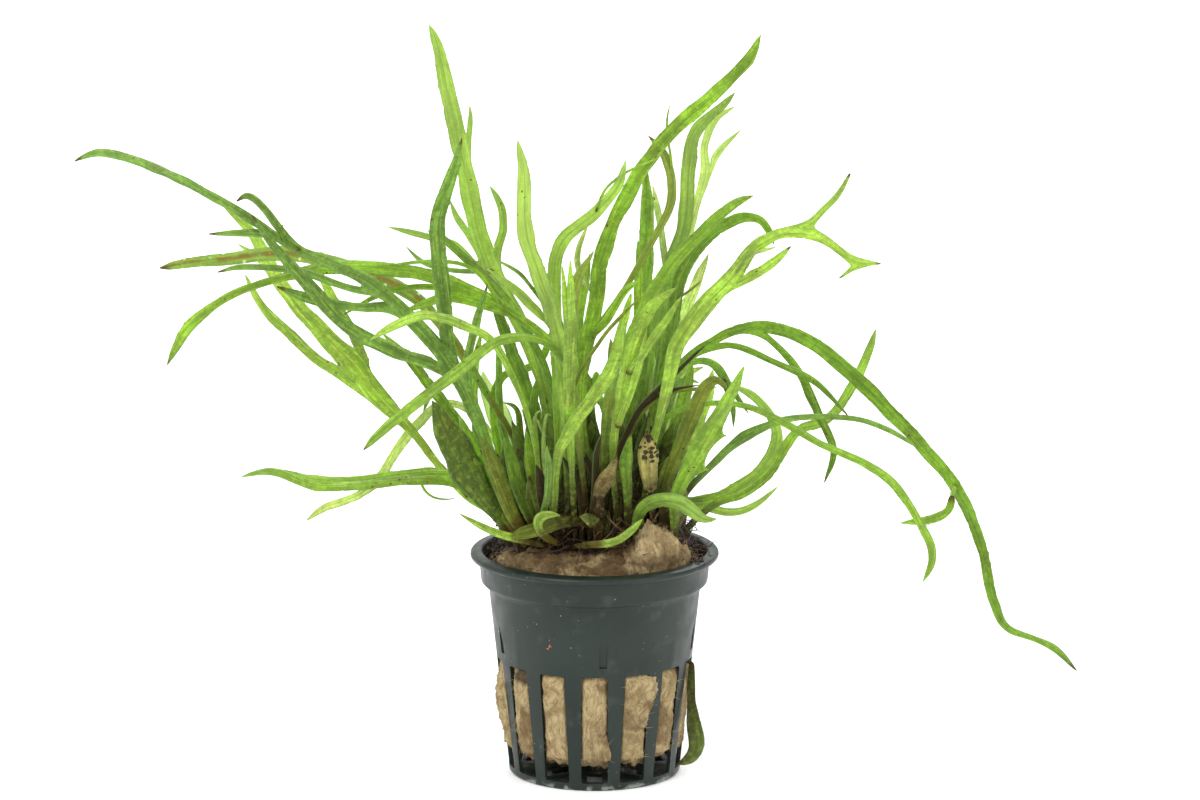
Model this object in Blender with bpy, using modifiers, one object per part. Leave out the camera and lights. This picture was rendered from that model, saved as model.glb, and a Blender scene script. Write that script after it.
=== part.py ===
"""A potted trident java fern: a net pot packed with stone wool, and the fern on top of it.

Metres, +Z up. The origin is the centre of the pot's underside, and -Y is the front.
The pot and the wool are turned shapes. The creeping rhizomes lie on the wool, and each
frond is a thin blade that follows a smooth run through a few points of its midrib.
"""

import math

import bmesh
import bpy
from mathutils import Matrix, Vector
from mathutils.geometry import interpolate_bezier

MM = 0.001

# The net pot, a 5 cm aquarium pot
POT_HEIGHT = 50.5 * MM
LIP_RADIUS = 27.5 * MM
MOUTH_RADIUS = 25.2 * MM
COLLAR_RADIUS = 25.5 * MM
COLLAR_FOOT = 43.0 * MM
WALL = 0.8 * MM
COLLAR_WALL = 1.3 * MM
LIP_EDGE = 0.4 * MM
LIP_DEPTH = 1.3 * MM
COLLAR_STEP = 0.8 * MM
WALL_TOP_RADIUS = 23.45 * MM
WALL_TOP = 42.5 * MM
BASE_RADIUS = 18.85 * MM
FLOOR = 1.2 * MM
TURNS = 56
SLOTS = 14
SLOT_WIDTH = 5.85 * MM
SLOT_LOW = 1.8 * MM
SLOT_HIGH = 26.6 * MM
NOTCHES = 5
NOTCH_WIDTH = 1.7 * MM
NOTCH_LOW = 28.6 * MM
NOTCH_HIGH = 35.2 * MM
NOTCH_DEPTH = 0.5 * MM
FIRST_NOTCH = math.radians(5)
FLOOR_SLOTS = 7
FLOOR_SLOT_WIDTH = 3.4 * MM
FLOOR_SLOT_REACH = (7 * MM, 15.5 * MM)

# The stone wool
CLEARANCE = 0.35 * MM
WOOL_LOW = 5.0 * MM
WOOL_TOP = 49.2 * MM
WOOL_TURNS = 28

# The torn wool that stands up along the front, in millimetres and degrees: each lump's
# place, half sizes, turn about Z, and its leans to the right and to the front
WOOL_LUMPS = {
    "torn flap": ((12.8, -15.9, 52.0), (7.2, 3.0, 8.3), 28, -16, -9),
    "left lump": ((-13.4, -15.2, 48.8), (4.6, 2.5, 2.9), -35, 0, 0),
    "front lump": ((-7.4, -17.2, 48.8), (5.4, 3.4, 3.2), -15, 0, 0),
    "middle lump": ((-0.6, -17.8, 48.8), (5.4, 3.6, 2.7), 0, 0, 0),
    "right lump": ((5.6, -17.4, 48.8), (5.0, 3.4, 3.6), 15, 0, 0),
}

# The rhizomes, in three rows along X
RHIZOME_RADIUS = 2.2 * MM
RHIZOME_HEIGHT = WOOL_TOP + CLEARANCE + RHIZOME_RADIUS
RHIZOME_POINTS = 9
RHIZOME_SWAY = 0.9
RHIZOME_WAVE = 5.0
FRONT_ROW, MIDDLE_ROW, BACK_ROW = -9.0, 0.0, 9.0
RHIZOME_HALF_LENGTH = {FRONT_ROW: 20.5, MIDDLE_ROW: 21.5, BACK_ROW: 20.5}

# The fronds. A route's points are read as they look from the front, on the plane y = 0,
# from an eye this far back and up. Depth moves a point along its line of sight.
EYE = Vector((1.2, -1462.7, 416.4))
BLADE = 0.55
ROOT_HEIGHT = (RHIZOME_HEIGHT + RHIZOME_RADIUS + CLEARANCE) / MM
STALK_WIDTH = 1.2
LEAN_RADIUS = 85.0
LEAN_GROWTH = 1.3
ROOT_SPREAD = 0.02
CLUMP_HEART = (0.0, 52.0)
STATION_GAP = 7.0
LOBE_GAP = 0.4
LOBE_STEP = 0.5
STEPS = 10
TIP_TAPER = 0.8
LOBE_AIM = 4.0
LOBE_ROOM = 2.0

# Blade colours, as linear red, green and blue
BRIGHT = (0.30, 0.53, 0.06)
MID = (0.11, 0.29, 0.04)
DARK = (0.05, 0.14, 0.02)
TEAL = (0.08, 0.22, 0.12)
PALE = (0.42, 0.62, 0.28)
OLIVE = (0.17, 0.19, 0.04)
SLATE = (0.06, 0.10, 0.05)
TAN = (0.33, 0.21, 0.08)
TINTS = {
    BRIGHT: "bright", MID: "mid", DARK: "dark", TEAL: "teal",
    PALE: "pale", OLIVE: "olive", SLATE: "slate", TAN: "tan",
}

# Each frond: name, colour, root along X, lean (its depth at the lean radius), turn of the
# blade at its root and tip in degrees, the route as (across, up, seen width), and the lobes
# as (depth gained at the tip, route), where a lobe's route starts on the blade that bears
# it. All lengths are millimetres.
FRONDS = [
    ("frond_left_1", TEAL, -15.5, -28, (10, 50),
     [(-20, 62, 1.4), (-24, 75, 2.6), (-31, 91, 3.4), (-40, 102, 3.2), (-50, 111, 2.6),
      (-64.6, 117.7, 1.8), (-80, 127.7, 1.6), (-96.3, 136.2, 1.7), (-108, 139.6, 1.4),
      (-113.5, 137.5, 0.4)],
     [(0, [(-67.5, 119.6, 1.6), (-71, 125.4, 1.6), (-75.9, 130.2, 1.5), (-78.2, 128.6, 0.5)]),
      (0, [(-71, 121.2, 1.4), (-77, 121.6, 1.5), (-84.4, 121.3, 0.5)]),
      (-8, [(-31.3, 91.2, 3), (-38, 93, 3), (-46, 96, 3), (-54, 100.4, 3),
            (-61.8, 109, 2.8), (-70.5, 119, 1.8), (-75, 125.6, 0.4)]),
      (4, [(-43.5, 104.9, 2.2), (-51, 104.9, 2.2), (-62.7, 106.9, 2.4), (-69.6, 109.6, 0.5)]),
      (-2, [(-47.5, 108.6, 1.4), (-53, 109, 1.5), (-64.6, 113, 1.4), (-78, 114, 1.0),
            (-82.6, 112.8, 0.4)]),
      (-6, [(-32.3, 92.8, 3), (-32.6, 102, 3.4), (-33.9, 114, 3.6), (-34.2, 124.2, 3.3),
            (-30.6, 136.2, 2.2), (-28.9, 142.6, 0.4)]),
      (2, [(-29.3, 87.5, 1.8), (-26.4, 100, 2.0), (-23.5, 110, 0.4)])]),
    ("frond_left_2", OLIVE, -9, 6, (20, 30),
     [(-14, 68, 1.1), (-24, 86, 1.5), (-34.3, 101.9, 2.4), (-41.7, 108.8, 3.0),
      (-51.5, 112.8, 3.2), (-66, 116.9, 3.2), (-79.7, 115.8, 2.8), (-91, 114.6, 2.2),
      (-95.3, 113.6, 0.4)], []),
    ("frond_left_3", MID, 3, -22, (15, 30),
     [(3.9, 73, 1.3), (0.2, 86.3, 1.5), (-11, 98.2, 1.8), (-24.4, 107.5, 2.4),
      (-38, 112.4, 3.0), (-57.8, 113.8, 2.8), (-75.9, 109.3, 1.4), (-83.5, 105.3, 2.0),
      (-89.6, 99.9, 2.5), (-94, 92, 0.4)],
     [(3, [(-27.5, 109, 1.2), (-38.2, 109.6, 1.2), (-46.8, 107.9, 1.2), (-55, 103.3, 0.4)]),
      (-3, [(-23.5, 106.8, 1.6), (-32, 107.4, 2), (-37.5, 105.6, 1.8), (-42, 104, 0.4)])]),
    ("frond_left_4", BRIGHT, -19.5, 38, (10, 35),
     [(-27.7, 61.5, 1.1), (-32.7, 67, 1.2), (-40.1, 77, 2), (-46.7, 83.8, 4),
      (-52.4, 91.4, 6), (-57, 96.3, 4.4), (-65.8, 106, 3.2), (-70.3, 113, 3),
      (-75.2, 121.9, 2.4), (-80.9, 127.4, 0.4)],
     [(5, [(-49.5, 87.6, 3), (-60.2, 92.6, 2.3), (-66.5, 98.6, 2.3), (-73, 105.2, 2.0),
           (-76.6, 112.3, 0.4)]),
      (-5, [(-50.6, 89, 2.6), (-53.2, 99.3, 2.2), (-57.5, 107, 2.2), (-61.5, 115, 0.4)]),
      (0, [(-71.4, 116.5, 1.4), (-78, 119, 0.4)])]),
    ("frond_left_5", SLATE, -18.5, -34, (5, 20),
     [(-21.5, 58, 3), (-24.9, 63, 5), (-28.2, 68, 7.5), (-31, 74, 7), (-34, 80, 4),
      (-35.8, 84, 0.4)], []),
    ("frond_left_6", DARK, -15.6, 30, (20, 10),
     [(-19, 62, 3), (-22.3, 69, 4.6), (-25.4, 75, 3), (-27, 79, 0.4)], []),
    ("frond_left_7", MID, -2.6, -60, (20, 40),
     [(-3, 76, 1.1), (-6, 91, 1.2), (-11.5, 97.4, 1.3), (-20.6, 97.6, 2), (-29.4, 91, 2.6),
      (-39.3, 83.2, 2.4), (-47.9, 76.2, 1.8), (-50.8, 72.6, 0.4)], []),
    ("frond_left_8", MID, -16.5, -8, (20, 40),
     [(-22, 64, 1.2), (-30.2, 67.4, 1.8), (-40.5, 67.4, 2.2), (-51.7, 65.8, 2.2),
      (-62.4, 66, 2), (-70.3, 68.4, 0.4)], []),
    ("frond_left_9", MID, -19.5, -24, (30, 40),
     [(-24, 61, 1.2), (-30.2, 64.9, 1.8), (-38.5, 66, 2), (-50.9, 64.9, 2.2),
      (-61.2, 64.5, 2), (-71.5, 68, 1.4), (-78, 66.6, 0.4)], []),
    ("frond_left_10", PALE, -11.2, 62, (20, 35),
     [(-18, 68, 1.1), (-26, 80.5, 1.3), (-33, 83.5, 1.8), (-38.5, 79.1, 2.2),
      (-42.7, 74, 2.2), (-47.2, 66.8, 2.0), (-52.9, 62.1, 2), (-59.9, 59.6, 1.6),
      (-63.6, 56.8, 0.4)], []),
    ("frond_left_11", MID, -14, 18, (30, 30),
     [(-20, 64, 1.2), (-26, 73, 2.5), (-34.4, 85, 2.5), (-40.9, 93.4, 2),
      (-46.8, 99.4, 0.4)], []),
    ("frond_left_12", BRIGHT, -11.3, -50, (30, 35),
     [(-12, 66, 0.9), (-14.4, 79.5, 0.9), (-18.6, 90.6, 1.2), (-23.3, 98.2, 1.6),
      (-28.4, 100.7, 1.9), (-37, 103.2, 1.9), (-44.9, 100.3, 1.6), (-49.3, 97.7, 0.4)], []),
    ("frond_left_13", MID, -13.4, 48, (35, 20),
     [(-18, 64, 1.1), (-20.5, 71, 2.0), (-22, 80, 2.2), (-21.8, 86.5, 2.0),
      (-19.4, 90.3, 1.4), (-15.4, 90.9, 1.4), (-11.5, 93.5, 2.1), (-8.8, 101.8, 0.4)], []),
    ("frond_left_14", MID, -17.6, 80, (30, 20),
     [(-20.5, 66, 1.1), (-24.7, 74.4, 2), (-26.7, 83.7, 2.2), (-26.3, 91.7, 2),
      (-24.8, 100, 0.4)], []),
    ("frond_back_1", PALE, -9, 100, (25, 25),
     [(-15, 66, 1.1), (-21, 76, 2), (-24, 83, 2.8), (-25, 88, 2.0), (-28, 90.5, 0.4)], []),
    ("frond_top_1", MID, -7, 22, (10, 30),
     [(-8, 64, 1.3), (-9.3, 75.2, 2.4), (-11.8, 89.7, 3.2), (-16.6, 101.9, 3.6),
      (-24, 116.8, 4), (-27.9, 134.2, 4), (-31.4, 150.2, 3.6), (-34.1, 163, 2.6),
      (-35.9, 167.8, 0.4)],
     [(0, [(-28.9, 140, 1.2), (-27, 146, 1.2), (-27.2, 149.8, 0.4)]),
      (4, [(-25.3, 120.8, 1.4), (-29.8, 124.3, 1.5), (-31.6, 129, 0.4)]),
      (-5, [(-22.9, 114.6, 1.8), (-19.9, 122, 1.9), (-20.6, 128.2, 1.9), (-22.9, 132, 0.4)]),
      (6, [(-23.8, 116.2, 1.6), (-32, 119.5, 1.6), (-39.4, 121.5, 1.5), (-45, 122.8, 0.4)])]),
    ("frond_top_2", DARK, -4, 10, (30, 30),
     [(-6, 68, 1.1), (-9, 86, 1.2), (-14, 98, 1.5), (-20.5, 108, 1.8), (-28.4, 116, 1.8),
      (-34.3, 121.2, 1.4), (-36.6, 122.2, 0.4)], []),
    ("frond_top_3", BRIGHT, -5.8, -55, (10, 35),
     [(-6.2, 68, 1.2), (-6.9, 84, 2), (-8, 97.8, 3), (-11.5, 110, 3.4), (-15.2, 122, 3.4),
      (-15.5, 134.2, 2.8), (-16.8, 142.3, 0.4)],
     [(3, [(-8.8, 100.6, 1.8), (-13.2, 104.6, 1.8), (-17.3, 108.8, 1.8), (-23.6, 113.6, 0.4)])]),
    ("frond_top_4", MID, -7.6, -42, (25, 20),
     [(-8, 70, 1.2), (-8.3, 86, 1.8), (-8.5, 100, 2.8), (-8.9, 108.8, 3), (-7.6, 118.8, 3),
      (0.3, 126.3, 2.6), (5.3, 132.2, 2), (6.8, 137.8, 0.4)], []),
    ("frond_top_5", MID, 0.8, -34, (20, 30),
     [(-1, 68, 1.2), (-3, 80, 2), (-2.2, 94, 3), (0.3, 106, 3.4), (1.7, 116.7, 3.4),
      (6.1, 128, 3.2), (14.8, 142, 3), (25.2, 151.7, 2.9), (33.5, 160.1, 2.4),
      (36.1, 165.6, 0.4)], []),
    ("frond_top_6", OLIVE, -1, -15, (20, 20),
     [(-2, 72, 1.1), (-2.2, 86, 1.1), (-1, 97, 1.2), (6.9, 109.5, 1.2), (13.5, 121.4, 1.4),
      (17.1, 130, 2), (15.2, 139, 1.9), (11.7, 143.2, 0.4)], []),
    ("frond_top_7", DARK, 3, 30, (10, 20),
     [(6, 68, 1.2), (9, 82, 2), (10.6, 96.4, 2.8), (11.2, 115.5, 2.8), (11.5, 128, 2.6),
      (10.9, 138.6, 0.4)], []),
    ("frond_top_8", DARK, 5.2, 42, (15, 25),
     [(8, 68, 1.2), (10.5, 84, 1.8), (13, 102, 2.8), (16.5, 114, 3.2), (19.8, 124, 3.3),
      (20.6, 137.8, 3.2), (22.3, 144.5, 2.8), (28.1, 150, 1.8), (30.6, 152.8, 0.4)], []),
    ("frond_top_9", PALE, 7.6, 56, (30, 20),
     [(10, 70, 1.1), (14, 92, 1.4), (19, 114, 1.6), (21.9, 126.8, 2), (24.3, 135.5, 2.2),
      (23.9, 140.7, 1.8), (26.4, 147, 1.6), (30.6, 149.6, 0.4)],
     [(4, [(24.2, 134.6, 1.6), (27, 139.6, 1.6), (31.9, 144.5, 0.4)])]),
    ("frond_top_10", MID, 4, -27, (30, 30),
     [(2, 70, 1.1), (3.2, 86, 1.6), (8.1, 98.8, 2.4), (14.4, 111.2, 2.8), (23.9, 122.2, 2.6),
      (31, 128.4, 2), (34.8, 129.9, 0.4)], []),
    ("frond_top_11", DARK, 10, -2, (15, 35),
     [(12, 72, 1.1), (14.8, 89.1, 2.2), (16.9, 99.7, 3), (18.9, 112, 3), (24.7, 120.6, 2.8),
      (31, 124.6, 2.4), (35.9, 125, 1.8), (38.6, 121.4, 1.3), (39.3, 119, 0.4)], []),
    ("frond_top_12", BRIGHT, 9.4, -48, (10, 40),
     [(13, 74, 1.2), (15.8, 86, 2.4), (18.1, 96.3, 3.6), (24.8, 106, 3.8), (31, 112.8, 3.4),
      (34, 117.3, 2.6), (40.5, 121.4, 2.5), (48.8, 121, 2.2), (56.5, 115.4, 1.8),
      (62.8, 114.8, 0.4)],
     [(-4, [(29.5, 111.3, 2.2), (35.6, 112.6, 2.2), (39.6, 115.4, 1.8), (43, 118.6, 0.4)]),
      (4, [(46, 121.8, 1.2), (50.5, 127.2, 1.1), (53, 129.7, 1.1), (55.8, 134.8, 0.4)]),
      (0, [(57, 115.2, 1), (53.6, 111.5, 0.4)])]),
    ("frond_front_1", BRIGHT, -9.4, -95, (15, 15),
     [(-8.8, 62, 1.3), (-7.9, 72, 2), (-5, 78, 2.8), (-0.2, 84.8, 3), (4.4, 93, 2.8),
      (6.3, 101.8, 0.4)], []),
    ("frond_front_2", BRIGHT, -4.2, -82, (20, 20),
     [(-5, 68, 1.2), (-5.5, 82, 2.8), (-5.2, 100, 3), (-5.3, 115.5, 0.4)], []),
    ("frond_front_3", OLIVE, -1, -74, (25, 15),
     [(-3, 70, 1.2), (-5, 88, 2), (-5.1, 100.6, 2.6), (-3.8, 111, 2.4), (-0.2, 117.4, 0.4)],
     []),
    ("frond_front_4", BRIGHT, 5.6, -76, (20, 20),
     [(4, 70, 1.1), (6, 84, 1.8), (9.4, 98.9, 2.4), (13.1, 105.7, 2.2), (17.9, 109.3, 0.4)],
     []),
    ("frond_back_2", DARK, 1, 96, (15, 15),
     [(6, 70, 1.2), (12.4, 83, 3), (13.4, 95, 3), (13.5, 104, 0.4)], []),
    ("frond_back_3", MID, 10, 74, (20, 20),
     [(13, 70, 1.1), (16.5, 84, 2.6), (17, 96, 2.8), (16.5, 106, 0.4)], []),
    ("frond_right_1", DARK, 6, -12, (10, 50),
     [(5.9, 72.3, 1.3), (9.4, 80, 1.4), (17, 90, 1.6), (24.7, 96.7, 1.9), (34.3, 100.6, 2.3),
      (44.7, 98.6, 2.8), (54.6, 91.6, 3.2), (67, 79.3, 2.9), (79.5, 64.6, 2.6),
      (85.4, 51.3, 2.3), (88.4, 38.3, 2), (91.2, 32.3, 1.4), (96.5, 30.2, 1),
      (102, 27.7, 1.4), (107, 22.4, 0.4)],
     [(-3, [(23.5, 96, 1.2), (31, 96.3, 1.2), (39.7, 92.5, 1.3), (48.4, 88.3, 1.3),
            (55.9, 80.4, 0.4)]),
      (10, [(35.5, 100.3, 1.2), (41.3, 95, 1.2), (45.5, 89.5, 1.8), (49.6, 80.2, 2),
            (52.8, 72.5, 1.6), (50.7, 65.4, 0.4)])]),
    ("frond_right_2", MID, 11.2, -30, (20, 30),
     [(11.4, 66, 1), (13.5, 78, 1), (22.3, 82.9, 1), (33, 82.8, 1.1), (41.8, 78.9, 1.4),
      (50.1, 74, 1.2), (59.7, 69.7, 1.6), (65.9, 65.2, 2), (72.1, 55.8, 1.5),
      (75, 48.5, 1.9), (72.7, 42.8, 0.4)], []),
    ("frond_right_3", MID, 20, 14, (20, 30),
     [(26.4, 60.5, 1.6), (33, 63, 2), (38.9, 67.8, 2.2), (42.2, 73.8, 2.2), (45.1, 77.6, 2),
      (51, 79.4, 2), (57.1, 87.9, 2.2), (60.8, 96.6, 1.6), (61.7, 100, 0.4)], []),
    ("frond_right_4", OLIVE, 16.2, 34, (20, 30),
     [(18.5, 60.8, 1.3), (23.5, 61.2, 2.4), (29.7, 62.7, 3), (36.4, 67.8, 2.4),
      (40.3, 75, 1.8), (38.9, 80.2, 1.6), (34.7, 85.3, 1.4), (30, 87.3, 0.4)], []),
    ("frond_right_5", TEAL, 15, -23, (20, 30),
     [(21, 64, 1), (27.3, 70.8, 1.6), (32.5, 75.5, 2.5), (38, 78.3, 1.6), (45.1, 80.2, 1.1),
      (57.6, 79.8, 1.1), (65.9, 76.8, 1), (70.9, 73.4, 0.4)], []),
    ("frond_right_6", OLIVE, 19.6, 60, (30, 30),
     [(21.4, 60.4, 1.3), (24.5, 59.8, 1.8), (30.6, 58.6, 1.6), (35.5, 60.3, 1.2),
      (40.5, 64.5, 0.4)], []),
    ("frond_right_8", TEAL, 12, 46, (20, 25),
     [(14, 70, 1.1), (16, 84, 1.2), (19.8, 91.7, 1.4), (25.6, 92.7, 1.8), (28.9, 88.3, 1.8),
      (33.9, 81.1, 0.4)], []),
    ("frond_right_9", OLIVE, 15, -44, (15, 20),
     [(15.6, 64.3, 2.2), (18.6, 72.9, 3), (21.9, 81.5, 3.6), (24.4, 87, 3.2), (27, 89, 2.2),
      (29.4, 85.7, 0.4)], []),
    ("frond_right_10", TEAL, 17.4, -60, (15, 20),
     [(18.1, 62.6, 2.4), (21.9, 70.4, 3.5), (26.5, 79, 3.2), (30.6, 86.6, 2.2),
      (32.9, 91.6, 0.4)],
     [(0, [(24.6, 75.4, 1.6), (29, 76, 0.4)]), (0, [(21.2, 69, 1.4), (25.2, 68.2, 0.4)])]),
    ("frond_right_11", PALE, 14.2, 92, (20, 20),
     [(14.4, 70.4, 2.4), (16.9, 83.6, 3), (19.5, 89.5, 2.4), (23.9, 91.5, 0.4)], []),
    ("young_leaf_4", DARK, 7.4, -98, (15, 15),
     [(7.2, 65, 2.2), (6.9, 70.5, 3), (8.1, 76.5, 0.4)], []),
    ("young_leaf_5", TEAL, -13.2, -110, (20, 20),
     [(-10.4, 62.4, 1.4), (-10.1, 68.4, 1.8), (-10.6, 73.9, 0.4)], []),
    ("dead_leaf", TAN, 2.4, -108, (15, 15),
     [(1.2, 61.6, 2.2), (2.7, 66, 2.6), (5, 71.4, 0.4)], []),
]

# Leaves near the rim, each placed point by point: (across, up, seen width, depth)
PLACED_LEAVES = [
    ("spotted_leaf", PALE, (10, 10),
     [(13.3, 51.9, 1, -10.6), (12.9, 58, 0.9, -12), (12.3, 64, 1, -17), (12, 68.5, 3.2, -20),
      (11.8, 72, 4, -22), (11.8, 76.6, 0.4, -24)]),
    ("frond_right_7", BRIGHT, (40, 20),
     [(9.6, 51.9, 1.2, -12.4), (9.4, 56, 1.2, -12.7), (11, 60, 1.8, -17),
      (17, 61.4, 2.5, -23.5), (21.4, 59.3, 2.4, -27), (24, 57, 2, -29), (27, 57.2, 0.4, -30)]),
    ("young_leaf_1", BRIGHT, (20, 20),
     [(-7.6, 51.4, 1.2, -13), (-10.2, 52.6, 1.5, -17), (-12.8, 55.4, 1.8, -20),
      (-12.4, 58.6, 1.8, -21), (-8, 58.3, 0.4, -20)]),
    ("young_leaf_2", BRIGHT, (20, 20),
     [(-5, 50.8, 0.8, -13), (-1.9, 51.2, 1.4, -16.5), (4.8, 52, 1.8, -18.5),
      (8.6, 55, 1.6, -19.8), (10.6, 57.2, 0.4, -20.8)]),
    ("young_leaf_3", BRIGHT, (20, 20),
     [(-10.4, 50.9, 1.1, -14), (-16, 52.3, 1.4, -17), (-23.5, 54.6, 1.6, -20),
      (-29.9, 58.4, 0.4, -21)]),
    ("hanging_leaf", MID, (10, 10),
     [(21.6, 20.5, 1.2, -6), (21.3, 15.2, 1.8, -6.5), (21.3, 10.9, 2.4, -7),
      (22.1, 6.5, 3, -8), (22.3, 3.4, 3.2, -9), (20.6, 1.1, 2.4, -10),
      (18.3, 0.9, 0.8, -10.5)]),
    ("plantlet_leaf", MID, (20, 20),
     [(78.9, 62.4, 1.2, -21), (78.4, 58.9, 2, -21.5), (73.5, 56.9, 2, -22),
      (67.5, 56.2, 0.4, -22.5)]),
]


def clear_scene():
    for old in list(bpy.data.objects):
        bpy.data.objects.remove(old)


def new_collection(name):
    collection = bpy.data.collections.new(name)
    bpy.context.scene.collection.children.link(collection)
    return collection


def finish(name, colour, roughness):
    """A plain material for one kind of surface."""
    material = bpy.data.materials.get(name)
    if material is None:
        material = bpy.data.materials.new(name)
        material.use_nodes = True
        shader = material.node_tree.nodes["Principled BSDF"]
        shader.inputs["Base Color"].default_value = (*colour, 1)
        shader.inputs["Roughness"].default_value = roughness
        shader.inputs["Metallic"].default_value = 0
    return material


def new_object(name, data, collection, material):
    item = bpy.data.objects.new(name, data)
    item.data.materials.append(material)
    collection.objects.link(item)
    return item


def turned(name, outline, turns, collection, material):
    """Turn an outline of (radius, height) once round Z."""
    mesh = bpy.data.meshes.new(name)
    shape = bmesh.new()
    points = [shape.verts.new((radius, 0, height)) for radius, height in outline]
    for upper, lower in zip(points, points[1:]):
        shape.edges.new((upper, lower))
    shape.to_mesh(mesh)
    shape.free()
    item = new_object(name, mesh, collection, material)
    screw = item.modifiers.new("Turn", "SCREW")
    screw.steps = turns
    screw.render_steps = turns
    screw.use_merge_vertices = True
    screw.merge_threshold = 0.00001
    screw.use_smooth_shade = False
    return item


def wall_radius(height):
    """The outer radius of the pot's tapered wall at a height."""
    return BASE_RADIUS + (WALL_TOP_RADIUS - BASE_RADIUS) * height / WALL_TOP


def pot_outline():
    inside = [
        (0, FLOOR),
        (wall_radius(FLOOR) - WALL, FLOOR),
        (wall_radius(SLOT_HIGH) - WALL, SLOT_HIGH),
        (WALL_TOP_RADIUS - WALL, WALL_TOP - 0.3 * MM),
        (COLLAR_RADIUS - COLLAR_WALL, COLLAR_FOOT + 0.7 * MM),
        (MOUTH_RADIUS - LIP_EDGE, POT_HEIGHT - LIP_DEPTH / 2),
    ]
    rim = [
        (MOUTH_RADIUS, POT_HEIGHT),
        (LIP_RADIUS - LIP_EDGE, POT_HEIGHT - LIP_DEPTH / 2),
        (LIP_RADIUS, POT_HEIGHT - LIP_DEPTH / 2 - LIP_EDGE),
        (LIP_RADIUS - LIP_EDGE / 2, POT_HEIGHT - LIP_DEPTH - LIP_EDGE / 2),
        (COLLAR_RADIUS, POT_HEIGHT - LIP_DEPTH),
    ]
    outside = [
        (COLLAR_RADIUS - COLLAR_STEP / 2, COLLAR_FOOT + 0.5 * MM),
        (COLLAR_RADIUS - COLLAR_STEP, COLLAR_FOOT),
        (WALL_TOP_RADIUS, WALL_TOP),
        (wall_radius(SLOT_HIGH), SLOT_HIGH),
        (wall_radius(0.6 * MM), 0.6 * MM),
        (BASE_RADIUS - 0.4 * MM, 0),
        (0, 0),
    ]
    return inside + rim + outside


def box_cutter(name, boxes, cutters):
    """One cutter of several boxes, each given by its matrix with its size in it."""
    mesh = bpy.data.meshes.new(name)
    shape = bmesh.new()
    for matrix in boxes:
        bmesh.ops.create_cube(shape, size=1, matrix=matrix)
    shape.to_mesh(mesh)
    shape.free()
    item = bpy.data.objects.new(name, mesh)
    cutters.objects.link(item)
    item.hide_render = True
    item.display_type = "WIRE"
    return item


def cut(item, cutter):
    boolean = item.modifiers.new(cutter.name, "BOOLEAN")
    boolean.operation = "DIFFERENCE"
    boolean.solver = "EXACT"
    boolean.object = cutter


def round_the_pot(angle, radius, height, size, tilt=0.0):
    """The matrix of a box at an angle from the front, its depth along the radius."""
    place = Matrix.Rotation(angle, 4, "Z") @ Matrix.Translation((0, -radius, height))
    return place @ Matrix.Rotation(tilt, 4, "X") @ Matrix.Diagonal((*size, 1))


def slot_boxes():
    height = SLOT_HIGH - SLOT_LOW
    depth = 8 * MM
    radius = wall_radius((SLOT_HIGH + SLOT_LOW) / 2) - WALL / 2
    return [
        round_the_pot(math.tau * step / SLOTS, radius, SLOT_LOW + height / 2,
                      (SLOT_WIDTH, depth, height))
        for step in range(SLOTS)
    ]


def notch_boxes():
    """Shallow grooves that get deeper towards their lower end."""
    height = NOTCH_HIGH - NOTCH_LOW
    depth = 2 * MM
    middle = (NOTCH_HIGH + NOTCH_LOW) / 2
    taper = math.atan((WALL_TOP_RADIUS - BASE_RADIUS) / WALL_TOP)
    deepening = math.atan(NOTCH_DEPTH / height)
    radius = wall_radius(middle) - NOTCH_DEPTH / 2 + depth / 2
    return [
        round_the_pot(FIRST_NOTCH + math.tau * step / NOTCHES, radius, middle,
                      (NOTCH_WIDTH, depth, height), taper + deepening)
        for step in range(NOTCHES)
    ]


def floor_slot_boxes():
    inner, outer = FLOOR_SLOT_REACH
    return [
        round_the_pot(math.tau * step / FLOOR_SLOTS, (inner + outer) / 2, FLOOR / 2,
                      (FLOOR_SLOT_WIDTH, outer - inner, 4 * FLOOR))
        for step in range(FLOOR_SLOTS)
    ]


def make_pot(collection, cutters):
    plastic = finish("pot plastic", (0.075, 0.092, 0.088), 0.42)
    pot = turned("pot", pot_outline(), TURNS, collection, plastic)
    cut(pot, box_cutter("side slots", slot_boxes(), cutters))
    cut(pot, box_cutter("notches", notch_boxes(), cutters))
    cut(pot, box_cutter("floor slots", floor_slot_boxes(), cutters))


def wool_outline():
    inner_wall = WALL + CLEARANCE
    return [
        (0, WOOL_TOP),
        (20 * MM, WOOL_TOP),
        (COLLAR_RADIUS - 1.9 * MM, WOOL_TOP - 1.5 * MM),
        (COLLAR_RADIUS - 2.4 * MM, COLLAR_FOOT + 1.6 * MM),
        (WALL_TOP_RADIUS - inner_wall - 0.2 * MM, WALL_TOP - 1.5 * MM),
        (wall_radius(SLOT_HIGH) - inner_wall, SLOT_HIGH),
        (wall_radius(WOOL_LOW + 2 * MM) - inner_wall, WOOL_LOW + 2 * MM),
        (wall_radius(WOOL_LOW) - inner_wall - 2 * MM, WOOL_LOW),
        (0, WOOL_LOW + 1 * MM),
    ]


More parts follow.
